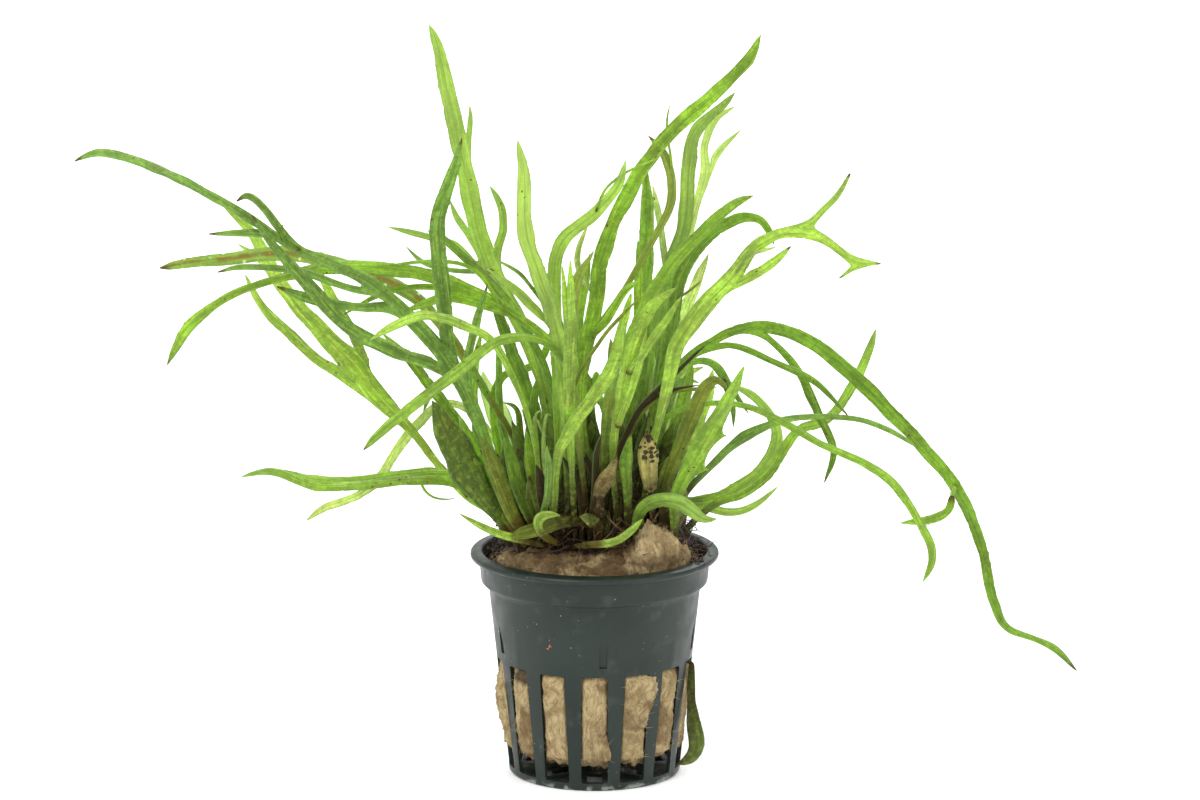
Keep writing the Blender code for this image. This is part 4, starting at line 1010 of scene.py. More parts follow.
def add_lobe(cage, rows, taken, blade, lobe, seed):
    """A lobe that grows out of two stations of one edge of its blade."""
    marks, run, along, stations, turns = blade
    wanted = nearest(run, along, lobe[0][0])
    wanted_row = min(range(len(stations)), key=lambda row: abs(stations[row] - wanted))
    turn = turn_at(turns, wanted / along[-1], wanted, int(seed))
    base = station(run, along, stations[wanted_row])[0]
    lobe_run = smooth_run([(base, lobe[0][1])] + lobe[1:])
    lobe_along = distances(lobe_run)
    length = lobe_along[-1]
    aim = station(lobe_run, lobe_along, min(length, LOBE_AIM))[0]
    vertices = cage.item.data.vertices
    side = min((0, 2), key=lambda side: (vertices[rows[wanted_row][side]].co / MM - aim).length)
    row = free_row(len(stations) - 1, wanted_row, taken[side])
    taken[side] |= {row - 1, row, row + 1}
    start = [rows[row + step][side] for step in (-1, 0, 1)]
    edge = [vertices[index].co / MM for index in start]
    skip = (edge[1] - base).length + 1
    while skip < length / 2:
        if clears(section(*station(lobe_run, lobe_along, skip), turn), run, turn):
            break
        skip += LOBE_STEP
    count = max(2, round((length - skip) / STATION_GAP))
    stops = [skip + (length - skip) * step / count for step in range(count + 1)]
    sections = [across_at(lobe_run, lobe_along, stop, turn, GUTTER, seed)[0] for stop in stops]
    straight = (sections[0][0] - edge[0]).length + (sections[0][2] - edge[2]).length
    crossed = (sections[0][2] - edge[0]).length + (sections[0][0] - edge[2]).length
    if crossed < straight:
        sections = [places[::-1] for places in sections]
    new_rows = extrude_edge_strip(cage.item, start, sections)
    pale = tone_of(marks, wanted, along[-1])[1]
    cage.across.append({index: (share, 0, 0, pale) for index, share in zip(start, (0, 0.5, 1))})
    for new_row, places, stop in zip(new_rows, sections, stops):
        width = station(lobe_run, lobe_along, stop)[2]
        cage.lay(new_row, places, width, stop, (tip_brown(marks, length - stop), pale))


def wave(item, seed):
    """Let the thin edges of a blade rise and fall, and its surface swell between the veins."""
    mesh = item.data
    normals = [vertex.normal.copy() for vertex in mesh.vertices]
    for vertex, normal in zip(mesh.vertices, normals):
        rib = vertex.groups[0].weight if vertex.groups else 1
        free = 1 - clamp((rib - 0.1) / 0.5)
        place = vertex.co / MM
        rise = noise.noise(place / WAVE_LENGTH + Vector((seed, 0, 0))) * WAVE * free
        rise += noise.noise(place / 1.3 + Vector((0, seed, 0))) * 0.05
        vertex.co += normal * (rise * MM)


def make_blade(name, points, turns, lobes, seed, marks):
    """A frond: a thin ribbed leaf on a smooth run of points, with its lobes."""
    run = smooth_run(points)
    along = distances(run)
    length = along[-1]
    rows_count = max(4, round(length / STATION_GAP))
    stations = [length * step / rows_count for step in range(rows_count + 1)]
    item, rows = strip(name + "_blade", rows_count)
    cage = Cage(item)
    gutter = GUTTER if seed % 3 else -GUTTER
    for row, distance in zip(rows, stations):
        turn = turn_at(turns, distance / length, distance, seed)
        places, width = across_at(run, along, distance, turn, gutter, seed)
        cage.lay(row, places, width, distance, tone_of(marks, distance, length))
    taken = {0: set(), 2: set()}
    for number, lobe in enumerate(lobes):
        add_lobe(cage, rows, taken, (marks, run, along, stations, turns), lobe, seed + number / 7)
    cage.map_faces()
    apply_modifier(item, "SUBSURF", levels=2, render_levels=2)
    wave(item, seed)
    apply_modifier(item, "SOLIDIFY", thickness=THICKEST * MM, offset=0, vertex_group="rib",
                   thickness_vertex_group=THINNEST_SHARE)
    turn_out(item)
    smooth_shade(item)
    return item


def make_fronds(finishes):
    """The fronds and leaves that have solids, each with its own seed."""
    leaves = []
    for name, colour, root, lean, turns, route, lobes in FRONDS:
        row = row_of(lean) + lean * ROOT_SPREAD
        foot = Vector((root, row, RHIZOME_HEIGHT))
        neck = Vector((root, row, RHIZOME_HEIGHT + RHIZOME_RADIUS + CLEARANCE))
        points = [(foot, STALK_WIDTH), (neck, STALK_WIDTH)] + leaning(lean, route)
        leaves.append((name, colour, turns, points,
                       [leaning(lean, lobe, gain) for gain, lobe in lobes]))
    for name, colour, turns, route in PLACED_LEAVES:
        leaves.append((name, colour, turns, placed(route), []))
    for seed, (name, colour, turns, points, lobes) in enumerate(leaves):
        item = make_blade(name, points, turns, lobes, seed, MARKS.get(name, PLAIN_MARKS))
        finish = finishes[SPECIAL_FINISHES.get(name, colour)]
        dress(item, finish, "leaf_" + TINTS[colour], name)


# Small strands, tendrils and broken bits, and the second row of blades between the fronds:
# tint, the lean they share with what bears them, and the route as (across, up, seen width).
# A route starts on the frond or the rhizome that bears it.
SMALL_STRANDS = [
    (DARK, -28, [(-64.6, 117.7, 1.0), (-68.4, 120.5, 1.0), (-68.2, 123.5, 0.4)]),
    (MID, -22, [(-20, 104.6, 0.8), (-27, 113.8, 0.8), (-37, 115.2, 0.7), (-45, 114.4, 0.3)]),
    (TEAL, 22, [(-22, 112.9, 1.0), (-31, 113.2, 0.9), (-37.4, 114.8, 0.9),
                (-41.4, 118.7, 0.4)]),
    (TEAL, -55, [(-9.8, 104, 0.8), (-13.5, 109, 0.8), (-16.6, 112.8, 0.8),
                 (-21.7, 115.6, 0.4)]),
    (MID, -42, [(0.3, 126.3, 0.6), (2.4, 131.4, 0.5), (7.4, 135.4, 0.5), (13.2, 137.9, 0.3)]),
    (PALE, -34, [(0.5, 107.5, 0.9), (-3, 112, 1.2), (-3.9, 116.5, 1.4), (-1.4, 123.4, 0.4)]),
    (MID, -15, [(17.1, 130, 0.5), (16.7, 137.8, 0.5), (15.7, 145.8, 0.4), (16.3, 150, 0.3)]),
    (PALE, 42, [(15.9, 112, 1.4), (14.6, 122, 1.5), (13.6, 128, 1.2), (12.7, 132.2, 0.4)]),
    (PALE, -48, [(31, 113, 0.8), (33.9, 117.0, 0.9), (36.4, 117.4, 1.0), (39.7, 118.4, 0.4)]),
    (OLIVE, -2, [(18.2, 107, 0.5), (21.4, 109.1, 0.5), (23.4, 110.9, 0.3)]),
    (BRIGHT, -82, [(-5.4, 92, 1.4), (-6.2, 104, 1.4), (-7, 114, 0.4)]),
    (BRIGHT, -76, [(7.4, 90, 1.6), (14.4, 100, 1.9), (18.9, 107.2, 0.4)]),
    (BRIGHT, -76, [(5, 78, 1.4), (9.2, 90, 1.7), (11.5, 100.1, 0.4)]),
    (MID, -34, [(-1.4, 98, 1.6), (2.7, 102, 1.8), (6.9, 109.1, 1.5), (10.2, 110.8, 0.4)]),
    (OLIVE, -74, [(-5, 86, 0.7), (-2.2, 92.1, 0.7), (2.3, 98.9, 0.7), (4.8, 101.8, 0.7),
                  (9.6, 107, 0.3)]),
    (TEAL, 46, [(15.5, 80, 1.2), (17, 85, 1.5), (19.4, 88.7, 1.5), (23.1, 87.9, 0.4)]),
    (OLIVE, -12, [(10.6, 81.5, 0.8), (15.2, 85.5, 0.9), (22.7, 86.6, 0.7), (27, 87, 0.3)]),
    (TEAL, 46, [(28.4, 88.8, 1.2), (30.6, 82, 1.2), (30.5, 77.9, 0.4)]),
    (BRIGHT, -190, [(0.5, 50.5, 1.0), (1.3, 54, 1.6), (0.4, 56.2, 3.0), (-1.8, 57.4, 3.2),
                    (-3.4, 57.6, 0.6)]),
    (OLIVE, -95, [(2, 50.5, 1.2), (0.6, 55.4, 2.4), (-5, 56.9, 3.2), (-12, 55, 3.2),
                  (-17, 53.6, 2.6), (-18.6, 53.2, 0.6)]),
    (DARK, -30, [(5, 50.5, 1.2), (8, 56.5, 2.4), (11.4, 61, 3.2), (15.4, 63.2, 2.4),
                 (18, 62.4, 0.6)]),
    (BARK, -80, [(-2.8, 50.5, 1.0), (-3.2, 62, 1.2), (-5.2, 67.6, 1.5), (-7.2, 71.5, 0.4)]),
    (OLIVE, -50, [(9, 50.5, 0.8), (10.5, 60, 0.8), (13.9, 64.6, 0.8), (15.1, 68.4, 0.8),
                  (16.4, 71.4, 0.3)]),
    (MID, -24, [(-38.5, 66, 0.5), (-37.2, 62.8, 0.5), (-33.9, 61.5, 0.4), (-31, 61.9, 0.3)]),
    (DARK, -60, [(-36, 85.5, 0.9), (-37.7, 81.5, 0.4)]),
    (TEAL, 30, [(-13, 54, 1.0), (-17, 66, 1.6), (-20.4, 78, 1.6), (-21, 85.7, 1.6),
                (-21, 91.8, 1.3), (-21.4, 96.2, 0.4)]),
    (MID, 10, [(-11, 52, 1.0), (-15.5, 70, 1.2), (-16.5, 78, 1.4), (-17, 82.5, 1.2),
               (-20, 83.5, 0.4)]),
    (DARK, -4, [(-9, 52, 1.4), (-13.5, 66, 3.6), (-13.6, 76, 3.8), (-13.4, 83, 2.2),
                (-12.8, 88.8, 0.4)]),
    (MID, -22, [(1.2, 83, 1.0), (0.4, 86.5, 1.2), (-0.1, 89.6, 1.4), (1.0, 90.6, 1.3),
                (1.3, 89.0, 0.5)]),
    (OLIVE, -22, [(0.6, 85, 1.4), (-2, 89.5, 1.7), (-4, 93, 0.4)]),
    (OLIVE, -40, [(4, 50.5, 1.2), (5.3, 68, 1.6), (4.5, 75, 1.8), (3.5, 80, 0.5)]),
    (BARK, -92, [(-1, 50.5, 1.0), (0.2, 68, 1.4), (0.4, 72, 1.4), (1.5, 76.5, 0.3)]),
    (OLIVE, 38, [(-27.7, 61.5, 0.8), (-31, 66, 0.8), (-34, 70, 0.4)]),
    (PALE, -40, [(-10, 50.5, 0.8), (-12.4, 70, 0.8), (-13.1, 79, 0.6), (-12.9, 81.6, 0.5),
                 (-11.9, 82.4, 0.5), (-11.3, 81.2, 0.4), (-11.8, 79.8, 0.3)]),
    (PALE, -48, [(-8, 50.5, 0.8), (-11.2, 70, 0.9), (-11, 78, 0.6), (-10.5, 81.4, 0.5),
                 (-9.7, 81.6, 0.4), (-9.6, 80.4, 0.3)]),
    (PALE, -44, [(-11, 76, 0.5), (-12.2, 78.4, 0.5), (-12.6, 80.4, 0.4), (-13.8, 80.6, 0.4),
                 (-13.7, 79, 0.3)]),
    (MID, 12, [(4, 52, 1.4), (8, 84, 2.8), (9.5, 98, 3.0), (10, 112, 2.4), (9.5, 120, 0.5)]),
    (DARK, 20, [(6, 52, 1.6), (14, 84, 3.2), (15.5, 98, 3.4), (16.5, 110, 2.6), (17, 118, 0.5)]),
    (BRIGHT, -30, [(1, 50.5, 1.4), (3, 82, 2.6), (4.5, 94, 2.6), (7, 104, 1.8), (8, 108, 0.4)]),
    (DARK, 30, [(-5, 54, 1.6), (-13, 80, 3.2), (-17, 92, 3.2), (-21, 103, 2.2),
                (-23, 108, 0.4)]),
    (DARK, -10, [(-2, 52, 1.6), (-4, 80, 3.2), (-6, 92, 3.2), (-8, 102, 1.8), (-8.5, 106, 0.4)]),
    (OLIVE, 16, [(1, 52, 1.8), (4, 78, 3.2), (4, 90, 2.8), (3.5, 98, 0.5)]),
    (MID, 24, [(9, 52, 1.8), (18, 78, 3.2), (20.5, 88, 2.6), (21.5, 93, 0.4)]),
    (PALE, 40, [(8, 54, 1.6), (13, 84, 3.2), (18, 100, 3.2), (23, 112, 2.2), (25, 117, 0.4)]),
    (MID, 34, [(-2, 54, 1.4), (-4, 84, 2.8), (-4, 100, 3.0), (-2, 112, 2.0), (-1, 117, 0.4)]),
    (OLIVE, -42, [(-13, 50.5, 1.4), (-18, 58, 3.2), (-21, 66, 3.6), (-23.4, 72, 2.8),
                  (-25, 76, 0.5)]),
    (DARK, -38, [(-11, 50.5, 1.2), (-15, 60, 3.2), (-17.4, 67, 3.4), (-19, 73, 2.2),
                 (-20, 76, 0.4)]),
    (MID, -30, [(-15, 50.5, 1.2), (-21, 60, 2.6), (-25, 68, 3.0), (-28, 76, 2.2),
                (-30, 81, 0.4)]),
    (MID, -34, [(-9, 50.5, 1.2), (-12, 60, 3.0), (-14, 70, 3.0), (-15, 77, 0.5)]),
    (BARK, -40, [(3, 50.5, 1.0), (4.4, 66, 1.2), (5.9, 73.5, 1.4), (9.6, 81.5, 1.3),
                 (13.5, 86, 1.2), (18, 90.4, 0.9), (24, 96.2, 0.4)]),
    (BARK, -40, [(9.6, 81.5, 0.9), (13, 84.6, 1.0), (18, 86.6, 0.7), (23, 87.4, 0.3)]),
    (BARK, -70, [(-10, 50.5, 1.0), (-11.6, 60, 1.6), (-12, 66, 2.4), (-12.8, 69.4, 0.5)]),
    (BARK, -60, [(2, 50.5, 1.0), (1, 62, 1.6), (-0.6, 68, 1.6), (-3.8, 74.4, 0.4)]),
    (BRIGHT, -20, [(14, 52, 1.6), (18.6, 70, 3.2), (22.6, 80, 3.8), (25.2, 87, 2.6),
                   (26, 91, 0.4)]),
]


# The stem between the plantlet and the arch that bears it, and the foot of the leaf that hangs
# from a slot: (across, up, seen width, depth)
PLACED_STRANDS = [
    (MID, [(79.7, 64.4, 1.1, -11.2), (79.4, 64.2, 1.0, -14), (79.1, 63.4, 1.0, -18),
           (78.6, 62.0, 0.8, -21.4)]),
    (OLIVE, [(18.6, 24.2, 1.0, -4.4), (20.4, 24.8, 1.1, -5.2), (21.5, 24.2, 1.2, -6.0),
             (21.5, 22.0, 0.8, -6.1)]),
]


def join_by_tint(by_tint, words, finishes):
    """Join the blades of each tint into one piece."""
    for colour, items in by_tint.items():
        word = TINTS.get(colour, "bark")
        slot = "rhizome" if colour == BARK else "leaf_" + word
        dress(join(items, f"{words}_{word}"), finishes[colour], slot)


def make_small_strands(finishes):
    """The strands too small for solids of their own."""
    by_tint = {}
    for seed, (colour, lean, route) in enumerate(SMALL_STRANDS, STRAND_SEED):
        marks = PLAIN_MARKS if route[0][1] < ROOTED_UNDER else UNROOTED_MARKS
        item = make_blade(f"strand_{seed}", leaning(lean, route), (20, 20), [], seed, marks)
        by_tint.setdefault(colour, []).append(item)
    for seed, (colour, route) in enumerate(PLACED_STRANDS, PLACED_SEED):
        item = make_blade(f"strand_{seed}", placed(route), (0, 0), [], seed, UNROOTED_MARKS)
        by_tint.setdefault(colour, []).append(item)
    join_by_tint(by_tint, "small_strands", finishes)


def make_clump_blades(finishes):
    """Short young and old blades that fill the clump between the long fronds."""
    draw = random.Random(7)
    by_tint = {}
    for seed in range(CLUMP_BLADES):
        row = draw.choice((FRONT_ROW, MIDDLE_ROW, BACK_ROW, MIDDLE_ROW))
        x = draw.uniform(-18, 16)
        height = draw.uniform(8, 33) * (1.12 - abs(x) / 45)
        if row == FRONT_ROW:
            height *= 0.72
        lean_x = x * 0.38 * height / 20 + draw.uniform(-4, 4)
        lean_y = row * 0.35 * height / 20 + draw.uniform(-3, 3)
        bend = Vector((draw.uniform(-1.5, 1.5), draw.uniform(-1.5, 1.5), 0))
        foot = Vector((x, row + draw.uniform(-0.8, 0.8), RHIZOME_HEIGHT))
        width = draw.uniform(1.8, 4.0) * min(height / 16, 1)
        points = []
        for part, share in ((0, 0.8), (0.3, 0.95), (0.6, 1.0), (0.85, 0.75), (1, 0.15)):
            place = foot + Vector((lean_x, lean_y, 0)) * part ** 1.3
            place += bend * math.sin(part * math.pi) + Vector((0, 0, height * part))
            points.append((place, width * share))
        colour = draw.choice(CLUMP_TINTS)
        turn = draw.uniform(-35, 35)
        stalk = draw.choice((draw.uniform(6, 14), draw.uniform(6, 14), draw.uniform(16, 30)))
        marks = (stalk, draw.choice((0, 0, 3)), draw.uniform(0, 0.3))
        item = make_blade(f"clump_{seed}", points, (turn, turn), [], seed + CLUMP_SEED, marks)
        by_tint.setdefault(colour, []).append(item)
    join_by_tint(by_tint, "clump_blades", finishes)


# Roots and fibres


def strands(name, paths, radius, material, slot, sides=0):
    """Many thin round strands in one mesh; a path is a run of (place, share of the radius)."""
    curve = bpy.data.curves.new(name, "CURVE")
    curve.dimensions = "3D"
    curve.bevel_depth = radius * MM
    curve.bevel_resolution = sides
    curve.use_fill_caps = True
    for path in paths:
        spline = curve.splines.new("POLY")
        spline.points.add(len(path) - 1)
        for point, (place, share) in zip(spline.points, path):
            point.co = (*(place * MM), 1)
            point.radius = share
    item = bpy.data.objects.new(name, curve)
    bpy.context.scene.collection.objects.link(item)
    pick(item)
    bpy.ops.object.convert(target="MESH")
    item = bpy.context.active_object
    merge_close(item, 0.001 * MM)
    turn_out(item)
    smooth_shade(item)
    dress(item, material, slot)


def wandering(draw, start, heading, steps, step, wander, sag=0.0):
    """A strand's path from a start, which turns a little at each step and thins to its tip."""
    path = [(start.copy(), 1.0)]
    place = start.copy()
    heading = heading.normalized()
    for count in range(steps):
        turn = Vector((draw.gauss(0, wander), draw.gauss(0, wander), draw.gauss(0, wander) - sag))
        heading = (heading + turn).normalized()
        place = place + heading * step
        path.append((place.copy(), 1 - 0.7 * (count + 1) / steps))
    return path


def on_rhizome(draw):
    """A point on the skin of a rhizome, and the way out of it."""
    row = draw.choice((FRONT_ROW, MIDDLE_ROW, BACK_ROW))
    half = RHIZOME_HALF_LENGTH[row]
    centre = rhizome_line(draw.uniform(-half, half), row)
    angle = draw.uniform(0, math.tau)
    out = Vector((draw.uniform(-0.3, 0.3), math.cos(angle), math.sin(angle)))
    return centre + out * RHIZOME_RADIUS * 0.9, out


def make_rhizome(node, row, material, seed):
    """A creeping stem: lumpy, scaly and blunt at its ends."""
    half = RHIZOME_HALF_LENGTH[row]
    bpy.ops.mesh.primitive_cylinder_add(vertices=20, radius=RHIZOME_RADIUS * MM,
                                        depth=2 * half * MM, rotation=(0, math.pi / 2, 0),
                                        end_fill_type="TRIFAN")
    item = bpy.context.active_object
    item.name = node + "_stem"
    settle(item)
    edit(item)
    for cut in range(1, RHIZOME_CUTS):
        x = (-half + 2 * half * cut / RHIZOME_CUTS) * MM
        bpy.ops.mesh.select_all(action="SELECT")
        bpy.ops.mesh.bisect(plane_co=(x, 0, 0), plane_no=(1, 0, 0))
    leave_edit()
    apply_modifier(item, "SUBSURF", levels=1, render_levels=1)
    for vertex in item.data.vertices:
        place = vertex.co / MM
        x = place.x
        end = clamp((half - abs(x)) / 3) ** 0.5
        lumps = 1 + 0.16 * noise.noise(Vector((x / 2.2, seed, 0)))
        lumps += 0.14 * noise.noise(place / 1.1 + Vector((seed, 0, 0)))
        scales = 0.07 * abs(math.sin(x * 2.4 + 2 * noise.noise(place / 2)))
        ring = Vector((0, place.y, place.z)) * (end * (lumps + scales) * 0.94)
        vertex.co = (rhizome_line(x, row) + ring) * MM
    smooth_shade(item)
    dress(item, material, "rhizome", node)


def make_rhizomes():
    bark = bark_finish("rhizome bark", (0.085, 0.050, 0.022), (0.020, 0.012, 0.007))
    rows = {"rhizome_front": FRONT_ROW, "rhizome_middle": MIDDLE_ROW, "rhizome_back": BACK_ROW}
    for seed, (node, row) in enumerate(rows.items()):
        make_rhizome(node, row, bark, seed * 9.7)


def within(path, reach, low=-math.inf, high=math.inf):
    """Whether a path stays near the pot's middle line and between two heights."""
    return all(math.hypot(place.x, place.y) < reach and low < place.z < high for place, _ in path)


def gathered(wanted, grow):
    """As many paths as wanted, from a call that may also give none."""
    paths = []
    while len(paths) < wanted:
        path = grow()
        if path:
            paths.append(path)
    return paths


def make_roots():
    """Brown roots that curl over the wool, old leaf stubs, and fine hair between them."""
    draw = random.Random(11)
    brown = bark_finish("brown roots", (0.11, 0.055, 0.025), (0.025, 0.013, 0.008))
    black = bark_finish("old stubs", (0.06, 0.05, 0.02), (0.012, 0.010, 0.006))
    rusty = bark_finish("dead fibres", (0.30, 0.15, 0.045), (0.06, 0.032, 0.012))

    def root():
        start, out = on_rhizome(draw)
        path = wandering(draw, start, out, draw.randint(8, 16), 1.5, 0.45, 0.08)
        return path if within(path, 24, 50, 66) else None

    def stub():
        start, _ = on_rhizome(draw)
        start.z = RHIZOME_HEIGHT
        heading = Vector((start.x / 50 + draw.uniform(-0.3, 0.3),
                          start.y / 30 + draw.uniform(-0.3, 0.3), 1))
        if abs(start.x) >= 14:
            return None
        return wandering(draw, start, heading, draw.randint(4, 8), 1.4, 0.14)

    def hair():
        start, out = on_rhizome(draw)
        path = wandering(draw, start, out + Vector((0, 0, 0.6)), 6, 0.9, 0.6, 0.06)
        return path if within(path, 22, 49.8, 60) else None

    def fibre():
        start, out = on_rhizome(draw)
        heading = Vector((start.x / 60, start.y / 50 + draw.uniform(-0.3, 0.3), 1)) + out * 0.3
        path = wandering(draw, start, heading, draw.randint(9, 15), 1.3, 0.26)
        return path if abs(start.x) < 17 and within(path, 22) else None

    strands("curling_roots", gathered(CURLING_ROOTS, root), 0.24, brown, "rhizome", 1)
    strands("old_stubs", gathered(OLD_STUBS, stub), 0.5, black, "rhizome", 1)
    strands("root_hair", gathered(ROOT_HAIRS, hair), 0.07, brown, "rhizome")
    strands("dead_fibres", gathered(DEAD_FIBRES, fibre), 0.15, rusty, "rhizome")
    rim = []
    for side in [side for side, count in RIM_ROOTS.items() for _ in range(count)]:
        start = Vector((side * draw.uniform(18, 23), draw.uniform(-12, 2), 50.2))
        heading = Vector((side * draw.uniform(-0.2, 0.6), draw.uniform(-0.6, 0.2), 0.6))
        path = wandering(draw, start, heading, draw.randint(7, 14), 0.7, 0.75, 0.1)
        rim.append([(place, share) for place, share in path if place.z > 48])
    strands("rim_roots", [path for path in rim if len(path) > 2], 0.2, brown, "rhizome", 1)


# The wool


def wall_radius(height):
    """The outer radius of the pot's tapered wall at a height."""
    return BASE_RADIUS + (WALL_TOP_RADIUS - BASE_RADIUS) * height / WALL_TOP


def slot_bulge(place):
    """How far the wool stands out through a slot at a place on its side."""
    radius = math.hypot(place.x, place.y)
    if radius < 1:
        return 0
    angle = math.atan2(place.x, -place.y)
    step = math.tau / SLOTS
    slot = round(angle / step)
    aside = radius * math.sin(angle - slot * step)
    spill = 0.0
    if slot in (1, 2):
        aside = radius * math.sin(angle - step)
        spill = TORN_OVER * clamp((place.z - 14.5) / 8)
        spill += 0.5 * noise.noise(Vector((place.z / 1.1, 8, 3))) if spill > 0 else 0
        if slot == 2 and aside > SLOT_WIDTH / 2 + spill:
            aside = radius * math.sin(angle - 2 * step)
            spill = 0.0
    if slot == 0 and aside > 0:
        spill = 1.1 * max(0, 1 - abs(place.z - 8.5) / 4.5)
    half = SLOT_WIDTH / 2 - 0.15 + (spill if aside > 0 else 0)
    inside = 1 - (abs(aside) / half) ** 4
    if inside <= 0 or not WOOL_LOW < place.z < SLOT_HIGH - 0.2:
        return 0
    rise = min((SLOT_HIGH - place.z) / 2.5, 1) * min((place.z - WOOL_LOW) / 2.5, 1)
    fullness = 1.25 + 0.7 * noise.noise(Vector((slot * 3.7, place.z / 7, 1)))
    if slot == -3:
        fullness += 1.0 * max(0, math.sin((place.z - 4) / 22 * math.pi))
    if spill > 0:
        fullness += 0.9
    return fullness * math.sqrt(inside) * math.sqrt(max(rise, 0))


# Banks of wool against the front of the plant: place and half sizes
WOOL_BANKS = [
    ((-18.2, -10.5, 50.0), (3.4, 4.0, 2.8)), ((-14.0, -13.0, 50.2), (4.2, 4.2, 3.2)),
    ((-9.2, -13.6, 50.2), (4.4, 4.4, 3.2)), ((-4.2, -13.8, 49.8), (4.4, 4.6, 3.1)),
    ((0.8, -14.0, 49.8), (4.4, 4.6, 3.2)), ((5.4, -14.0, 50.2), (4.0, 4.6, 3.6)),
    ((10.0, -14.0, 51.4), (4.6, 4.6, 4.4)), ((15.2, -13.2, 50.2), (4.2, 3.8, 3.6)),
    ((12.4, -15.2, 56.2), (2.6, 1.5, 5.0)), ((15.4, -14.6, 54.0), (3.4, 1.6, 4.2)),
    ((18.6, -13.2, 51.8), (3.0, 1.8, 3.0)),
]


def flap_line(x):
    """The height of the torn flap's ragged top edge along the front."""
    if x < 11:
        line = 54.4 + 6.2 * clamp((x - 8.8) / 2.2)
    else:
        line = 60.6 - 0.78 * max(x - 12.0, 0)
    return line + 0.9 * noise.noise(Vector((x / 1.1, 3, 7)))


def make_wool(frame):
    """The wool, pressed out through the slots, banked up in front and torn at its top."""
    source = frame["nodes"]["stone_wool"]
    item = bpy.data.objects.new("wool_plug", source.data.copy())
    bpy.context.scene.collection.objects.link(item)
    merge_close(item, 0.01 * MM)
    pieces = [item]
    for place, half in WOOL_BANKS:
        bpy.ops.mesh.primitive_uv_sphere_add(segments=24, ring_count=12, radius=1)
        bank = bpy.context.active_object
        bank.matrix_world = Matrix.Translation(Vector(place) * MM) @ Matrix.Diagonal(
            (*(Vector(half) * MM), 1))
        settle(bank)
        pieces.append(bank)
    join(pieces, "wool_plug")
    apply_modifier(item, "REMESH", mode="VOXEL", voxel_size=WOOL_VOXEL * MM)
    mesh = item.data
    normals = [vertex.normal.copy() for vertex in mesh.vertices]
    for vertex, normal in zip(mesh.vertices, normals):
        vertex.co = worked_wool(vertex.co / MM, normal) * MM
    smooth_shade(item)
    fibre = wool_finish("stone wool fibre", (0.43, 0.340, 0.180), (0.23, 0.160, 0.075),
                        (0.12, 0.072, 0.032))
    dress(item, fibre, "stone_wool", "stone_wool")
    return item


def torn_wool(place, normal):
    """Where a point of the wool's torn front top goes: crumpled, and kept inside the rim."""
    line = flap_line(place.x)
    if place.z > line:
        place = Vector((place.x, place.y, line + (place.z - line) * 0.15))
    crumple = noise.fractal(place / 2.6, 0.7, 2.1, 5)
    strand = abs(noise.noise(Vector((place.x / 0.5, place.y / 0.5, place.z / 2)))) * 0.5
    moved = place + normal * (crumple + strand - 0.25)
    reach = MOUTH_RADIUS - 0.9
    wide = math.hypot(moved.x, moved.y)
    if wide > reach:
        moved.x *= reach / wide
        moved.y *= reach / wide
    return moved


def worked_wool(place, normal):
    """Where a point of the smooth wool goes: torn, pulled, pressed out or hanging."""
    if place.z > WOOL_TOP + 0.3 and place.y < -8:
        return torn_wool(place, normal)
    out = Vector((place.x, place.y, 0)).normalized()
    rough = noise.fractal(place / 3.2, 0.8, 2.0, 4) * 0.55
    if place.z > WOOL_TOP - 0.6:
        rough *= 1.9
    elif math.hypot(place.x, place.y) > wall_radius(place.z) - 3:
        rough = min(rough, 0.3) * 0.5
    bulge = slot_bulge(place) if abs(normal.z) < 0.5 else 0
    hang = 0.0
    if normal.z < -0.3 and place.z < WOOL_LOW + 3:
        hang = noise.noise(Vector((place.x / 1.6, place.y / 1.6, 5))) * 1.3
        hang -= 2.4 * clamp(place.y / 6)
    tuft = abs(noise.noise(place / 1.1)) * 0.3
    return place + normal * (rough + tuft * (0.4 + bulge)) + out * bulge + Vector((0, 0, hang))


def make_wool_fibres(wool):
    """Loose fibres that lie on the wool where it shows."""
    draw = random.Random(23)
    seen = [
        vertex for vertex in wool.data.vertices
        if vertex.co.z > 0.0485 or slot_bulge(vertex.co / MM) > 0.5
    ]
    paths = []
    for _ in range(FIBRE_TRIES):
        vertex = draw.choice(seen)
        normal = vertex.normal
        start = vertex.co / MM + normal * 0.05
        tilt = Vector((draw.gauss(0, 1), draw.gauss(0, 1), draw.gauss(0, 1.2)))
        heading = (tilt - normal * tilt.dot(normal)).normalized() + normal * draw.uniform(0, 0.22)
        path = wandering(draw, start, heading, 4, draw.uniform(0.3, 0.65), 0.25)
        if all(place.z > 3.4 for place, _ in path):
            paths.append(path)
    material = wool_finish("loose wool fibre", (0.52, 0.42, 0.25), (0.33, 0.24, 0.12),
                           (0.22, 0.14, 0.06))
    strands("wool_fibres", paths, 0.045, material, "stone_wool")


# The pot


